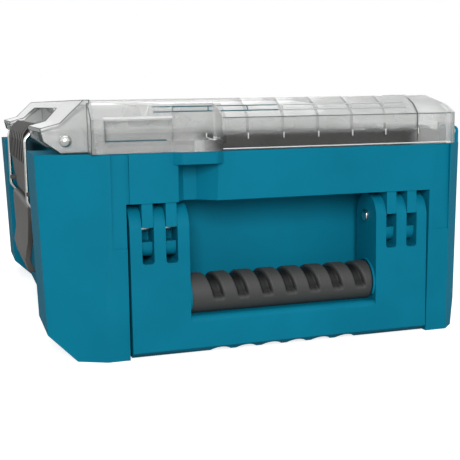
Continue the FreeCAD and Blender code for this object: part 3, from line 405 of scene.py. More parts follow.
@dataclass(frozen=True)
class PlatedSteel(Finish):
    """Zinc-plated drawn steel: bright, with a fine mottle in the plating."""

    name: str = "zinc_plated_steel"
    colour: str = "#dfe1de"
    shade: str = "#b4b6b2"
    roughness: float = 0.22
    gloss_spread: float = 0.08
    # Coarser than the crystals of real zinc on wire, so that it shows from close by
    mottle_mm: float = 0.5

    def surface(self, tree: bpy.types.NodeTree) -> dict:
        """Give a metal whose tone and roughness follow the mottle.

        Args:
            tree: the material's node tree.

        Returns:
            The surface's inputs.
        """
        place = add_node(tree, "ShaderNodeTexCoord").outputs["Object"]
        mottle = add_node(
            tree, "ShaderNodeTexNoise", {"Vector": place, "Scale": per_mm(self.mottle_mm), "Detail": 4.0}
        )
        stops = ((0.3, self.shade), (0.7, self.colour))
        tone = add_node(tree, "ShaderNodeValToRGB", {"Fac": mottle.outputs["Fac"]}, stops)
        gloss = add_node(
            tree,
            "ShaderNodeMapRange",
            {
                "Value": mottle.outputs["Fac"],
                "To Min": self.roughness - self.gloss_spread,
                "To Max": self.roughness + self.gloss_spread,
            },
        )
        return {
            "Base Color": tone.outputs["Color"],
            "Roughness": gloss.outputs["Result"],
            "Metallic": 1.0,
        }


@dataclass(frozen=True)
class PalePaper(Finish):
    """Pale paper under the box: dull, and lit up to white where the camera sees it."""

    name: str = "pale_paper"
    colour: str = "#c8c8c8"
    roughness: float = 0.9
    light: str = "#ffffff"
    glow: float = 0.75

    def surface(self, tree: bpy.types.NodeTree) -> dict:
        """Give an even tone that glows for the camera only.

        Args:
            tree: the material's node tree.

        Returns:
            The surface's inputs.
        """
        path = add_node(tree, "ShaderNodeLightPath")
        glow = add_node(
            tree, "ShaderNodeMapRange", {"Value": path.outputs["Is Camera Ray"], "To Max": self.glow}
        )
        return {
            "Base Color": linear(self.colour),
            "Roughness": self.roughness,
            "Emission Color": linear(self.light),
            "Emission Strength": glow.outputs["Result"],
        }


class Finishes:
    """Every finish of the box, made once."""

    def __init__(self) -> None:
        """Build the materials."""
        # ABS in a grained mould gives an even, slightly satin teal
        self.teal = MouldedPlastic("teal_abs", "#036c85", "#02647c", 0.62).build()
        # Glass-filled nylon is a warm dark grey with a dull sheen
        self.dark = MouldedPlastic(
            "dark_nylon", "#4c4a48", "#403e3c", 0.46, grain_mm=0.9, grain_depth=0.18, sheen=0.2
        ).build()
        # Black polypropylene of the trays looks grey where light grazes it
        self.tray = MouldedPlastic("black_polypropylene", "#2c2927", "#24211f", 0.50).build()
        # Soft black rubber scatters light and hardly shines; its rib tops carry painted light and its hollows
        # painted shade
        self.rubber = GripRubber().build()
        # A parting line or a sharp edge of the clear lid reads as a thin dark shadow
        self.seam = MouldedPlastic("seam_shadow", "#4a5351", "#3b4442", 0.50).build()
        # The ribs' polished faces mirror the tub, so their edges read as dark teal
        self.rib_shadow = MouldedPlastic("rib_shadow", "#2d5c66", "#244c55", 0.50).build()
        # Where a rib or the foot ends, the thick clear plastic lights up as a pale line
        self.glint = ClearPlastic("rib_glint", skirt_clearness=0.45, top_clearness=0.40).build()
        # Past the middle the same ribs mirror the bright surround instead, so their edges read as pale grey
        self.rib_gleam = MouldedPlastic("rib_gleam", "#a4a8a7", "#989c9b", 0.50).build()
        # The grooves of the latch's cover lie in shadow
        self.groove = MouldedPlastic("groove_shadow", "#1b1a19", "#141312", 0.55, sheen=0.1).build()
        # Zinc on the wire, the rod and the pins mirrors the surround in a soft bright band
        self.steel = PlatedSteel().build()
        # Polycarbonate shows what lies behind it and lights up at its edges; its whiter top is a painted
        # reflection
        self.clear = ClearPlastic().build()


def add_piece(
    name: str,
    shape: bmesh.types.BMesh,
    material: bpy.types.Material,
    body: Body,
    smooth: bool = True,
) -> bpy.types.Object:
    """Turn a finished shape into a piece that rides on a body.

    Args:
        name: the piece's name.
        shape: its mesh, in metres in the frame; it is freed here.
        material: its finish.
        body: the body that carries it.
        smooth: whether its faces are shaded as one rounded skin.

    Returns:
        The new object.
    """
    mesh = bpy.data.meshes.new(name)
    bmesh.ops.recalc_face_normals(shape, faces=shape.faces)
    for face in shape.faces:
        face.smooth = smooth
    shape.to_mesh(mesh)
    shape.free()
    mesh.materials.append(material)
    piece = bpy.data.objects.new(name, mesh)
    bpy.context.scene.collection.objects.link(piece)
    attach(piece, body.value)
    LOG.info("added %s, %d faces", name, len(mesh.polygons))
    return piece


def join_rings(shape: bmesh.types.BMesh, rings: list[list[bmesh.types.BMVert]]) -> None:
    """Skin a row of rings and close its two ends.

    Args:
        shape: the mesh to add to.
        rings: rings of as many corners each, in order.
    """
    for ring, next_ring in zip(rings, rings[1:]):
        for corner in range(len(ring)):
            after = (corner + 1) % len(ring)
            shape.faces.new((ring[corner], ring[after], next_ring[after], next_ring[corner]))
    shape.faces.new(rings[0][::-1])
    shape.faces.new(rings[-1])


def eased(share: float) -> float:
    """A share held between nought and one, with soft ends."""
    held = min(max(share, 0.0), 1.0)
    return held * held * (3 - 2 * held)


def sweep(shape: bmesh.types.BMesh, path: list[Vector], radius: float, sides: int = 16) -> None:
    """Sweep a round section along a path and close its ends.

    Args:
        shape: the mesh to add to.
        path: points along the middle, in order.
        radius: the section's radius.
        sides: corners of the section.
    """
    rings = []
    ahead = (path[1] - path[0]).normalized()
    across = ahead.orthogonal().normalized()
    for index, point in enumerate(path):
        onward = (path[min(index + 1, len(path) - 1)] - path[max(index - 1, 0)]).normalized()
        across = ahead.rotation_difference(onward) @ across
        ahead = onward
        up = ahead.cross(across)
        ring = []
        for corner in range(sides):
            angle = 2 * math.pi * corner / sides
            ring.append(shape.verts.new(point + radius * (math.cos(angle) * across + math.sin(angle) * up)))
        rings.append(ring)
    join_rings(shape, rings)


def turn(shape: bmesh.types.BMesh, outline: list[tuple[float, float]], middle: Vector, axis: Vector) -> None:
    """Turn an outline round an axis, as on a lathe.

    Args:
        shape: the mesh to add to.
        outline: points as distance along the axis and distance from it.
        middle: where the axis starts.
        axis: its direction.
    """
    along = axis.normalized()
    across = along.orthogonal().normalized()
    corners = [shape.verts.new(middle + along * reach + across * distance) for reach, distance in outline]
    edges = [shape.edges.new(pair) for pair in zip(corners, corners[1:])]
    bmesh.ops.spin(
        shape,
        geom=corners + edges,
        cent=middle,
        axis=along,
        angle=2 * math.pi,
        steps=TURN_STEPS,
        use_merge=True,
    )
    bmesh.ops.remove_doubles(shape, verts=shape.verts, dist=SAME_POINT_MM * MM)


def dome_outline(radius: float, height: float, foot: float) -> list[tuple[float, float]]:
    """Draw a low dome with a short straight foot, for a lathe.

    Args:
        radius: the dome's radius.
        height: its height.
        foot: the foot's depth.

    Returns:
        Points as distance along the axis and distance from it.
    """
    angles = [step * math.pi / 2 / DOME_STEPS for step in range(DOME_STEPS)]
    rise = [(height * math.sin(angle), radius * math.cos(angle)) for angle in angles]
    return [(-foot, 0.0), (-foot, radius), *rise, (height, 0.0)]


def add_block(shape: bmesh.types.BMesh, low: Vector, high: Vector, edge: float) -> None:
    """Add a box with rounded edges.

    Args:
        shape: the mesh to add to.
        low: its lowest corner.
        high: its highest corner.
        edge: the radius of its edges.
    """
    size = high - low
    where = Matrix.Translation((low + high) / 2) @ Matrix.Diagonal((*size, 1.0))
    made = bmesh.ops.create_cube(shape, size=1.0, matrix=where)
    edges = {rim for corner in made["verts"] for rim in corner.link_edges}
    bmesh.ops.bevel(
        shape,
        geom=list(edges),
        offset=edge,
        offset_type="OFFSET",
        affect="EDGES",
        segments=EDGE_STEPS,
        profile=0.5,
        material=-1,
    )


@dataclass
class Dressing:
    """Materials and rounded edges for the solids of the frame."""

    weld_mm: float = 0.005
    sharp_deg: float = 38.0

    def dress(self, names: list[str], material: bpy.types.Material, edge: Edge = Edge.MOULDED) -> None:
        """Give solids a finish and the small radius that a mould or a tool leaves on every edge.

        Args:
            names: nodes of the frame.
            material: their finish.
            edge: the radius of their edges.
        """
        for name in names:
            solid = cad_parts[name]
            solid.data.materials.clear()
            solid.data.materials.append(material)
            weld = solid.modifiers.new("joined_facets", "WELD")
            weld.merge_threshold = self.weld_mm * MM
            rim = solid.modifiers.new("edge_radius", "BEVEL")
            rim.width = edge.value * MM
            rim.segments = EDGE_STEPS
            rim.profile = 0.5
            rim.limit_method = "ANGLE"
            rim.angle_limit = math.radians(self.sharp_deg)
            rim.harden_normals = False
            for face in solid.data.polygons:
                face.use_smooth = True
            shade = solid.modifiers.new("even_shading", "WEIGHTED_NORMAL")
            shade.keep_sharp = True
            LOG.info("dressed %s in %s", name, material.name)


@dataclass
class CaseTub:
    """The teal tub with its hinge pin."""

    finishes: Finishes
    dressing: Dressing

    def build(self) -> None:
        """Dress the tub and the pin of its hinge."""
        self.dressing.dress(["case_body"], self.finishes.teal)
        self.dressing.dress(["hinge_pin"], self.finishes.steel, Edge.METAL)


@dataclass
class ClearLid:
    """The clear lid with the latch's rod, whose ends are riveted over into balls."""

    finishes: Finishes
    dressing: Dressing
    ball_radius_mm: float = 4.0
    ball_height_mm: float = 3.2
    ball_foot_mm: float = 0.3
    strip_left_mm: float = 104.0
    strip_width_mm: float = 9.0
    strip_end_mm: float = 170.0
    ridges: int = 9
    ridge_pitch_mm: float = 2.2
    ridge_mm: float = 0.9
    ridge_sunk_mm: float = 0.2
    ridge_rise_mm: float = 0.5
    ridge_edge_mm: float = 0.15
    seam_mm: float = 108.0
    seam_radius_mm: float = 0.35
    seam_shares: tuple[float, float] = (0.06, 0.94)
    seam_steps: int = 24
    seam_sides: int = 8
    line_radius_mm: float = 0.40
    line_sides: int = 6
    line_step_mm: float = 1.5
    line_jump_mm: float = 1.2
    upright_steps: int = 4
    rib_line_mm: tuple[float, float, float] = (-75.0, 8.0, 101.0)
    rib_levels_mm: tuple[float, float] = (161.0, 157.9)
    rib_first_mm: float = -61.6
    rib_pitch_mm: float = 24.5
    ribs: int = 7
    dark_ribs: int = 3
    glint_first_mm: float = -38.5
    glint_levels_mm: tuple[float, float] = (139.8, 143.6)
    foot_level_mm: float = 133.8
    break_line_mm: tuple[float, float] = (-34.0, 140.0)
    break_level_mm: float = 153.5
    break_radius_mm: float = 0.25
    sill_line_mm: tuple[float, float] = (-105.5, -65.8)
    sill_level_mm: float = 140.2
    edge_limit_mm: float = -98.0
    edge_angle_deg: float = 35.0
    edge_radius_mm: float = 0.22
    edge_sides: int = 5

    def build(self) -> None:
        """Dress the lid and the rod, and add what is moulded or riveted on them."""
        self.dressing.dress(["lid"], self.finishes.clear, Edge.CLEAR)
        self.dressing.dress(["latch_rod"], self.finishes.steel, Edge.METAL)
        self.rod_ends()
        for side in Side:
            self.ridged_strip(side)
            self.parting_line(side)
            self.rib_lines(side)
        self.edge_lines()

    def rod_ends(self) -> None:
        """A bright riveted ball on each end of the rod."""
        low, high = extent("latch_rod")
        middle = (low + high) / 2
        outline = dome_outline(self.ball_radius_mm * MM, self.ball_height_mm * MM, self.ball_foot_mm * MM)
        for side in Side:
            end = Vector((middle.x, low.y if side is Side.NEAR else high.y, middle.z))
            shape = bmesh.new()
            turn(shape, outline, end, Vector((0, side.value, 0)))
            add_piece(f"rod_end_{side.word}", shape, self.finishes.steel, Body.LID)

    def ridged_strip(self, side: Side) -> None:
        """A strip of fine ridges moulded on the lid's top, near the hinge side.

        Args:
            side: at which end.
        """
        top = extent("lid")[1].z / MM
        right = self.strip_left_mm + self.strip_width_mm
        shape = bmesh.new()
        for ridge in range(self.ridges):
            start = self.strip_end_mm - ridge * self.ridge_pitch_mm
            near, far = sorted((side.value * start, side.value * (start - self.ridge_mm)))
            low = Vector((self.strip_left_mm, near, top - self.ridge_sunk_mm))
            high = Vector((right, far, top + self.ridge_rise_mm))
            add_block(shape, low * MM, high * MM, self.ridge_edge_mm * MM)
        add_piece(f"lid_ridges_{side.word}", shape, self.finishes.clear, Body.LID)

    @cached_property
    def triangles(self) -> BVHTree:
        """The lid's own triangles, for lines to be laid on.

        Returns:
            The triangles in metres, ready to be met by straight lines.
        """
        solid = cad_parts["lid"]
        corners = [solid.matrix_world @ corner.co for corner in solid.data.vertices]
        return BVHTree.FromPolygons(corners, [tuple(face.vertices) for face in solid.data.polygons])

    def on_wall(self, side: Side, spots: list[tuple[float, float]]) -> list[Vector]:
        """Find where straight lines along Y, from outside, first meet an end wall of the lid.

        Args:
            side: which end.
            spots: the X and the Z of each line, in millimetres.

        Returns:
            The points met, in order, in metres; a line that misses the lid gives none.
        """
        outside = side.value * 2 * extent("lid")[1].y
        inward = Vector((0, -side.value, 0))
        met = [self.triangles.ray_cast(Vector((x * MM, outside, z * MM)), inward)[0] for x, z in spots]
        return [point for point in met if point is not None]

    def parting_line(self, side: Side) -> None:
        """A thin dark line up an end wall, where the hinge side of the lid begins.

        Args:
            side: which end.
        """
        foot, top = (corner.z / MM for corner in extent("lid"))
        start, stop = (foot + (top - foot) * share for share in self.seam_shares)
        steps = range(self.seam_steps + 1)
        spots = [(self.seam_mm, start + (stop - start) * step / self.seam_steps) for step in steps]
        shape = bmesh.new()
        sweep(shape, self.on_wall(side, spots), self.seam_radius_mm * MM, self.seam_sides)
        add_piece(f"lid_parting_line_{side.word}", shape, self.finishes.seam, Body.LID)

    def level_line(
        self, shape: bmesh.types.BMesh, side: Side, ends: tuple[float, float], level: float, radius: float
    ) -> None:
        """Lay a thin line along X on an end wall, broken where the wall steps in or out.

        Args:
            shape: the mesh to add to.
            side: which end.
            ends: the X of both ends, in millimetres.
            level: its height in millimetres.
            radius: its radius in millimetres.
        """
        start, stop = ends
        count = round((stop - start) / self.line_step_mm)
        spots = [(start + (stop - start) * step / count, level) for step in range(count + 1)]
        runs: list[list[Vector]] = [[]]
        for point in self.on_wall(side, spots):
            if runs[-1] and abs(point.y - runs[-1][-1].y) > self.line_jump_mm * MM:
                runs.append([])
            runs[-1].append(point)
        for run in runs:
            if len(run) > 1:
                sweep(shape, run, radius * MM, self.line_sides)

    def upright_lines(
        self, shape: bmesh.types.BMesh, side: Side, places: list[float], levels: tuple[float, float]
    ) -> None:
        """Lay thin lines up an end wall.

        Args:
            shape: the mesh to add to.
            side: which end.
            places: the X of each line, in millimetres.
            levels: the heights of their two ends, in millimetres.
        """
        start, stop = levels
        steps = range(self.upright_steps + 1)
        heights = [start + (stop - start) * step / self.upright_steps for step in steps]
        for place in places:
            points = self.on_wall(side, [(place, height) for height in heights])
            sweep(shape, points, self.line_radius_mm * MM, self.line_sides)

    def rib_ladder(self, side: Side, ends: tuple[float, float], ribs: range) -> bmesh.types.BMesh:
        """Lay two level lines and the short lines of some ribs between them.

        Args:
            side: which end.
            ends: the X of the level lines' ends, in millimetres.
            ribs: the numbers of the ribs.

        Returns:
            A new mesh with the lines.
        """
        shape = bmesh.new()
        for level in self.rib_levels_mm:
            self.level_line(shape, side, ends, level, self.line_radius_mm)
        places = [self.rib_first_mm + rib * self.rib_pitch_mm for rib in ribs]
        self.upright_lines(shape, side, places, self.rib_levels_mm)
        return shape

    def rib_lines(self, side: Side) -> None:
        """Lines where the ribs, the slope's break, the foot and the pocket's sill turn the light.

        Args:
            side: at which end.
        """
        start, middle, end = self.rib_line_mm
        shape = self.rib_ladder(side, (start, middle), range(self.dark_ribs))
        self.level_line(shape, side, self.sill_line_mm, self.sill_level_mm, self.line_radius_mm)
        add_piece(f"lid_rib_lines_{side.word}", shape, self.finishes.rib_shadow, Body.LID)
        shape = self.rib_ladder(side, (middle, end), range(self.dark_ribs, self.ribs))
        add_piece(f"lid_rib_gleams_{side.word}", shape, self.finishes.rib_gleam, Body.LID)
        shape = bmesh.new()
        places = [self.glint_first_mm + rib * self.rib_pitch_mm for rib in range(self.ribs)]
        self.upright_lines(shape, side, places, self.glint_levels_mm)
        self.level_line(shape, side, self.break_line_mm, self.foot_level_mm, self.line_radius_mm)
        add_piece(f"lid_rib_glints_{side.word}", shape, self.finishes.glint, Body.LID)
        shape = bmesh.new()
        self.level_line(shape, side, self.break_line_mm, self.break_level_mm, self.break_radius_mm)
        add_piece(f"lid_break_line_{side.word}", shape, self.finishes.seam, Body.LID)

    def edge_lines(self) -> None:
        """Thin dark lines where the sharp edges of the latch end turn the light away."""
        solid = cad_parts["lid"]
        body = bmesh.new()
        body.from_mesh(solid.data)
        bmesh.ops.transform(body, matrix=solid.matrix_world, verts=body.verts)
        bmesh.ops.remove_doubles(body, verts=body.verts, dist=SAME_POINT_MM * MM)
        shape = bmesh.new()
        for edge in body.edges:
            ends = [corner.co.copy() for corner in edge.verts]
            sharp = edge.is_manifold and edge.calc_face_angle() > math.radians(self.edge_angle_deg)
            if sharp and max(end.x for end in ends) < self.edge_limit_mm * MM:
                sweep(shape, ends, self.edge_radius_mm * MM, self.edge_sides)
        body.free()
        add_piece("lid_edge_lines", shape, self.finishes.seam, Body.LID)


@dataclass
class DrawLatch:
    """The draw latch: a bent wire coiled round the rod, its ribbed cover and the lever on its crossbar."""

    finishes: Finishes
    dressing: Dressing
    wire_radius_mm: float = 1.5
    arm_mm: float = 88.0
    corners_mm: tuple[tuple[float, float], ...] = (
        (-136.5, 149.0), (-146.0, 139.0), (-146.0, 94.0), (-140.0, 86.0),
    )
    bends_mm: tuple[float, ...] = (6.0, 6.0, 6.0, 4.0)
    bend_steps: int = 8
    coil_radius_mm: float = 4.55
    coil_rise_mm: float = 3.05
    coil_steps: int = 36
    cover_half_mm: float = 79.0
    cover_thick_mm: float = 2.2
    cover_outline_mm: tuple[tuple[float, float], ...] = (
        (-137.5, 149.6), (-141.5, 146.4), (-144.6, 142.2), (-145.6, 137.0), (-145.6, 121.5),
        (-145.6, 119.5), (-144.6, 117.5), (-143.6, 108.0), (-142.6, 100.0), (-141.2, 92.2),
    )
    ribbed_points: int = 5
    ribs: int = 9
    rib_height_mm: float = 1.2
    ridge_shares: tuple[float, ...] = (0.0, 0.40, 0.43, 0.96, 0.99)
    groove_shares: tuple[float, ...] = (0.0, 0.385, 0.425)
    groove_skin_mm: float = 0.15
    clip_mm: tuple[tuple[float, float], ...] = ((-147.0, 98.0), (-142.0, 101.5))
    clip_lap_mm: float = 1.0
    clip_past_mm: float = 1.8
    clip_edge_mm: float = 0.8

    def build(self) -> None:
        """Dress the latch, and make the ribbed cover and the wire that show in place of two solids."""
        self.dressing.dress(["latch_plate", "latch_lever"], self.finishes.dark)
        self.dressing.dress(["latch_bail"], self.finishes.steel, Edge.METAL)
        self.cover()
        shape = bmesh.new()
        sweep(shape, self.wire_path(), self.wire_radius_mm * MM)
        wire = add_piece("latch_wire", shape, self.finishes.steel, Body.BAIL)
        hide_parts("latch_bail")

    def cover(self) -> None:
        """The cover between the wire's arms: upright ribs above, smooth below, a clip on each arm."""
        pitch = 2 * self.cover_half_mm / self.ribs
        starts = [-self.cover_half_mm + rib * pitch for rib in range(self.ribs)]
        ridge = list(zip(self.ridge_shares, (0.0, 0.0, self.rib_height_mm, self.rib_height_mm, 0.0)))
        columns = [(start + share * pitch, rise) for start in starts for share, rise in ridge]
        columns.append((self.cover_half_mm, 0.0))
        shape = bmesh.new()
        self.plate(shape, columns, len(self.cover_outline_mm), self.cover_thick_mm)
        (left, foot), (right, head) = self.clip_mm
        for side in Side:
            inner = side.value * (self.cover_half_mm - self.clip_lap_mm)
            near, far = sorted((inner, side.value * (self.arm_mm + self.clip_past_mm)))
            low = Vector((left, near, foot))
            high = Vector((right, far, head))
            add_block(shape, low * MM, high * MM, self.clip_edge_mm * MM)
        dark = self.finishes.dark
        piece = add_piece("latch_cover", shape, dark, Body.BAIL, smooth=False)
        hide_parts("latch_plate")
        groove = list(zip(self.groove_shares, (self.groove_skin_mm, self.groove_skin_mm, self.rib_height_mm)))
        shape = bmesh.new()
        for start in starts:
            columns = [(start + share * pitch, rise) for share, rise in groove]
            self.plate(shape, columns, self.ribbed_points, self.groove_skin_mm)
        add_piece("latch_cover_grooves", shape, self.finishes.groove, Body.BAIL)

    def plate(
        self, shape: bmesh.types.BMesh, columns: list[tuple[float, float]], count: int, thick: float
    ) -> None:
        """Skin a plate along the cover's outline, its upper part raised column by column.

        Args:
            shape: the mesh to add to.
            columns: the Y of each column and its rise above the outline, in millimetres.
            count: how many of the outline's points it follows.
            thick: its depth behind the outline, in millimetres.
        """
        outline = [Vector(point) for point in self.cover_outline_mm]
        runs = [(onward - back).normalized() for back, onward in zip(outline, outline[1:])]
        ways = [(here + onward).normalized() for here, onward in zip(runs, runs[1:])]
        outward = [Vector((way.y, -way.x)) for way in (runs[0], *ways, runs[-1])]
        rings = []
        for place, rise in columns:
            rises = [rise if order < self.ribbed_points else 0.0 for order in range(count)]
            outer = [point + normal * height for point, normal, height in zip(outline, outward, rises)]
            inner = [point - normal * thick for point, normal in zip(outline[:count], outward)]
            rings.append([shape.verts.new(Vector((x, place, z)) * MM) for x, z in outer + inner[::-1]])
        join_rings(shape, rings)

    def coil(self) -> list[Vector]:
        """One turn round the rod at the near arm, from its free end to where it leaves towards the arm.

        Returns:
            Points in millimetres.
        """
        low, high = extent("latch_rod")
        middle = (low + high) / 2 / MM
        x, z = self.corners_mm[0]
        reach = Vector((x - middle.x, z - middle.z))
        leave = math.atan2(reach.y, reach.x) - math.acos(self.coil_radius_mm / reach.length)
        points = []
        for step in range(self.coil_steps + 1):
            left = 1 - step / self.coil_steps
            angle = leave - 2 * math.pi * left
            across = self.coil_radius_mm * math.cos(angle)
            rise = self.coil_radius_mm * math.sin(angle)
            place = -self.arm_mm - self.coil_rise_mm * left
            points.append(Vector((middle.x + across, place, middle.z + rise)))
        return points

    def wire_path(self) -> list[Vector]:
        """Middle line of the wire: a coil, an arm and half the crossbar, then the same mirrored.

        Returns:
            Points in metres.
        """
        half = self.coil()
        corners = [Vector((x, -self.arm_mm, z)) for x, z in self.corners_mm]
        corners.append(Vector((corners[-1].x, 0.0, corners[-1].z)))
        for back, here, onward, radius in zip([half[-1]] + corners, corners, corners[1:], self.bends_mm):
            half += self.bend(back, here, onward, radius)
        mirrored = [Vector((point.x, -point.y, point.z)) for point in reversed(half)]
        return [point * MM for point in half + mirrored]

    def bend(self, back: Vector, here: Vector, onward: Vector, radius: float) -> list[Vector]:
        """Points round one bend of the wire.

        Args:
            back: the corner before.
            here: the corner that is bent.
            onward: the corner after.
            radius: the bend's radius.

        Returns:
            Points from where the bend starts to where it ends.
        """
        to_back = (back - here).normalized()
        to_onward = (onward - here).normalized()
        half = to_back.angle(to_onward) / 2
        middle = here + (to_back + to_onward).normalized() * radius / math.sin(half)
        spoke = here + to_back * radius / math.tan(half) - middle
        swing = to_back.cross(to_onward).normalized()
        whole = math.pi - 2 * half
        angles = [-whole * step / self.bend_steps for step in range(self.bend_steps + 1)]
        return [middle + Matrix.Rotation(angle, 3, swing) @ spoke for angle in angles]


@dataclass
class FoldingHandle:
    """One carry handle with its grip and pins."""

    side: Side
    finishes: Finishes
    dressing: Dressing
    head_mm: float = 4.0
    dome_mm: float = 1.1
    dome_foot_mm: float = 0.2
    lip_mm: float = 0.9
    lip_radius_mm: float = 14.6
    lip_reach_deg: float = 125.0
    lip_steps: int = 48
    lip_sides: int = 10
    sleeve_rings: int = 172
    sleeve_sides: int = 72
    hollow_pitch_mm: float = 17.0
    hollow_half_mm: float = 4.2
    hollow_edge_mm: float = 1.6
    hollow_depth_mm: float = 3.0
    hollow_slant_mm: float = 9.0
    hollow_most: int = 3
    hollow_middle_deg: float = 17.5
    hollow_reach_deg: float = 88.0
    hollow_soft_deg: float = 14.0

    @property
    def body(self) -> Body:
        """The body that the handle swings with."""
        return Body.HANDLE_NEAR if self.side is Side.NEAR else Body.HANDLE_FAR

    def build(self) -> None:
        """Dress the handle, its grip and its pins, and round the pins' heads."""
        end = self.side.word
        self.dressing.dress([f"handle_{end}"], self.finishes.teal)
        self.dressing.dress([f"grip_{end}"], self.finishes.rubber, Edge.THIN)
        self.sleeve()
        for hand in Hand:
            pin = f"handle_pin_{end}_{hand.value}"
            self.dressing.dress([pin], self.finishes.steel, Edge.METAL)
            self.pin_head(pin)
            self.grip_lip(hand)

    def hollow(self, place: float, angle: float) -> float:
        """How deep the finger hollows are at a point of the grip.

        Args:
            place: distance along the grip from its middle, in millimetres.
            angle: degrees from the top, positive towards the outside.

        Returns:
            The depth in millimetres.
        """
        along = place - self.hollow_slant_mm * angle / 180
        nearest = min(max(round(along / self.hollow_pitch_mm), -self.hollow_most), self.hollow_most)
        away = abs(along - nearest * self.hollow_pitch_mm)
        across = abs(angle - self.hollow_middle_deg)
        width = eased((self.hollow_half_mm - away) / self.hollow_edge_mm)
        return self.hollow_depth_mm * width * eased((self.hollow_reach_deg - across) / self.hollow_soft_deg)

    def sleeve(self) -> None:
        """The rubber grip with deep finger hollows, cut flat where it sits on the bar."""
        end = self.side.word
        low, high = (corner / MM for corner in extent(f"grip_{end}"))
        middle, radius = (size / MM for size in grip_middle(self.side))
        shape = bmesh.new()
        rings = []
        for step in range(self.sleeve_rings + 1):
            place = low.x + (high.x - low.x) * step / self.sleeve_rings
            ring = []
            for corner in range(self.sleeve_sides):
                angle = 360 * corner / self.sleeve_sides - 180
                reach = radius - self.hollow(place - middle.x, angle)
                outside = middle.y + self.side.value * reach * math.sin(math.radians(angle))
                height = max(middle.z + reach * math.cos(math.radians(angle)), low.z)
                ring.append(shape.verts.new(Vector((place, outside, height)) * MM))
            rings.append(ring)
        join_rings(shape, rings)
        grip = add_piece(f"grip_sleeve_{end}", shape, self.finishes.rubber, self.body)
        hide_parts(f"grip_{end}")

    def pin_head(self, pin: str) -> None:
        """A low dome riveted over a pin's head, on the side of the handle's middle.

        Args:
            pin: the pin's node.
        """
        low, high = extent(pin)
        start, stop = extent(f"handle_{self.side.word}")
        sign = 1.0 if low.x + high.x < start.x + stop.x else -1.0
        face = high.x if sign > 0 else low.x
        middle = Vector((face, (low.y + high.y) / 2, (low.z + high.z) / 2))
        outline = dome_outline(self.head_mm * MM, self.dome_mm * MM, self.dome_foot_mm * MM)
        shape = bmesh.new()
        turn(shape, outline, middle, Vector((sign, 0, 0)))
        add_piece(f"{pin}_dome", shape, self.finishes.steel, Body.CASE)

    def grip_lip(self, hand: Hand) -> None:
        """A raised lip on an arm's inner face, round the end of the grip.

        Args:
            hand: which arm.
        """
        end = self.side.word
        low, high = extent(f"grip_{end}")
        middle = grip_middle(self.side)[0]
        face = low.x - self.lip_mm * MM if hand is Hand.LEFT else high.x + self.lip_mm * MM
        radius = self.lip_radius_mm * MM
        path = []
        for step in range(self.lip_steps + 1):
            angle = math.radians(self.lip_reach_deg) * (2 * step / self.lip_steps - 1)
            out = radius * math.sin(angle)
            rise = radius * math.cos(angle)
            path.append(Vector((face, middle.y + out, middle.z + rise)))
        shape = bmesh.new()
        sweep(shape, path, self.lip_mm * MM, self.lip_sides)
        add_piece(f"grip_lip_{end}_{hand.value}", shape, self.finishes.teal, self.body)


@dataclass
class Compartments:
    """The pocket trays over the handle recesses and the lift-out bins between them."""

    finishes: Finishes
    dressing: Dressing
    bins: int = 6

    def build(self) -> None:
        """Dress the trays and the bins."""
        trays = [f"tray_{side.word}" for side in Side]
        bins = [f"bin_{number + 1}" for number in range(self.bins)]
        self.dressing.dress(trays + bins, self.finishes.tray, Edge.THIN)


@dataclass(frozen=True)
class SoftLamp:
    """A square soft lamp, with its place and side in metres and its power in watts."""

    name: str
    place: tuple[float, float, float]
    size: float
    power: float
    target: tuple[float, float, float] = (0.0, 0.0, 0.08)

    def hang(self) -> None:
        """Add the lamp, aimed at the box."""
        light = bpy.data.lights.new(self.name, "AREA")
        light.size = self.size
        light.energy = self.power
        lamp = bpy.data.objects.new(self.name, light)
        lamp.location = self.place
        lamp.rotation_euler = (Vector(self.target) - Vector(self.place)).to_track_quat("-Z", "Y").to_euler()
        bpy.context.scene.collection.objects.link(lamp)


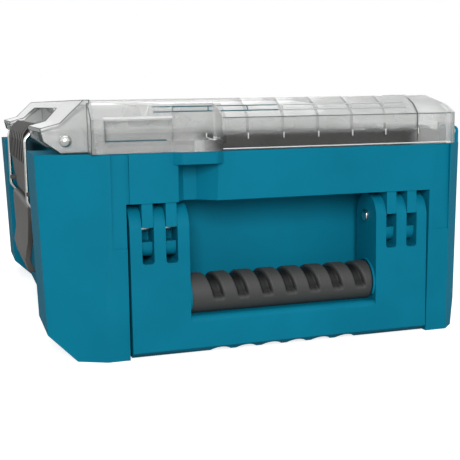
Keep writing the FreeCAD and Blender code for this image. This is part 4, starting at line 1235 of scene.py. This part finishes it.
@dataclass
class Studio:
    """Plain pale floor, soft lights and the camera at the photograph's angle."""

    camera_place: tuple[float, float, float] = (-0.1974, -0.7429, 0.1635)
    turn_deg: float = 17.3
    tilt_deg: float = -8.19
    roll_deg: float = -0.94
    lens: float = 69.73
    sensor: float = 36.0
    floor_size: float = 12.0
    surround_colour: str = "#ffffff"
    surround_light: float = 0.30
    surround_seen: float = 1.0
    lamps: tuple[SoftLamp, ...] = (
        SoftLamp("key", (-0.5, -1.8, 0.72), 0.7, 30.0),
        SoftLamp("fill", (1.4, -0.9, 0.9), 1.2, 6.0),
        SoftLamp("top", (0.0, 0.3, 1.8), 1.6, 12.0),
    )

    def build(self) -> None:
        """Set the studio up."""
        self.floor()
        self.world()
        for lamp in self.lamps:
            lamp.hang()
        self.camera()
        bpy.context.scene.view_settings.view_transform = "Standard"

    def floor(self) -> None:
        """A wide pale floor that shows white where the camera sees it."""
        mesh = bpy.data.meshes.new("floor")
        shape = bmesh.new()
        bmesh.ops.create_grid(shape, x_segments=1, y_segments=1, size=self.floor_size)
        shape.to_mesh(mesh)
        shape.free()
        plane = bpy.data.objects.new("floor", mesh)
        bpy.context.scene.collection.objects.link(plane)
        mesh.materials.append(PalePaper().build())

    def world(self) -> None:
        """A dim surround that still shows white behind the box, through the lid and in reflections."""
        world = bpy.data.worlds.new("white_surround")
        bpy.context.scene.world = world
        world.use_nodes = True
        tree = world.node_tree
        tree.nodes.clear()
        path = add_node(tree, "ShaderNodeLightPath")
        seen = path.outputs["Is Camera Ray"]
        for ray in ("Is Transmission Ray", "Is Glossy Ray"):
            seen = add_node(
                tree, "ShaderNodeMath", {0: seen, 1: path.outputs[ray]}, operation="MAXIMUM"
            ).outputs[0]
        strength = add_node(
            tree,
            "ShaderNodeMapRange",
            {"Value": seen, "To Min": self.surround_light, "To Max": self.surround_seen},
        )
        surround = add_node(
            tree,
            "ShaderNodeBackground",
            {"Color": linear(self.surround_colour), "Strength": strength.outputs["Result"]},
        )
        add_node(tree, "ShaderNodeOutputWorld", {"Surface": surround.outputs["Background"]})

    def camera(self) -> None:
        """The camera, where the photograph was taken from."""
        data = bpy.data.cameras.new("photo_camera")
        data.lens = self.lens
        data.sensor_width = self.sensor
        eye = bpy.data.objects.new("photo_camera", data)
        turn_about = Matrix.Rotation(-math.radians(self.turn_deg), 4, "Z")
        tilt = Matrix.Rotation(math.radians(90 + self.tilt_deg), 4, "X")
        roll = Matrix.Rotation(math.radians(self.roll_deg), 4, "Z")
        eye.matrix_world = Matrix.Translation(Vector(self.camera_place)) @ turn_about @ tilt @ roll
        bpy.context.scene.collection.objects.link(eye)
        bpy.context.scene.camera = eye


def main() -> None:
    """Build and dress the whole scene."""
    logging.basicConfig(level=logging.INFO, format="%(message)s")
    finishes = Finishes()
    dressing = Dressing()
    CaseTub(finishes, dressing).build()
    ClearLid(finishes, dressing).build()
    DrawLatch(finishes, dressing).build()
    for side in Side:
        FoldingHandle(side, finishes, dressing).build()
    Compartments(finishes, dressing).build()
    Studio().build()


if __name__ == "__main__":
    main()
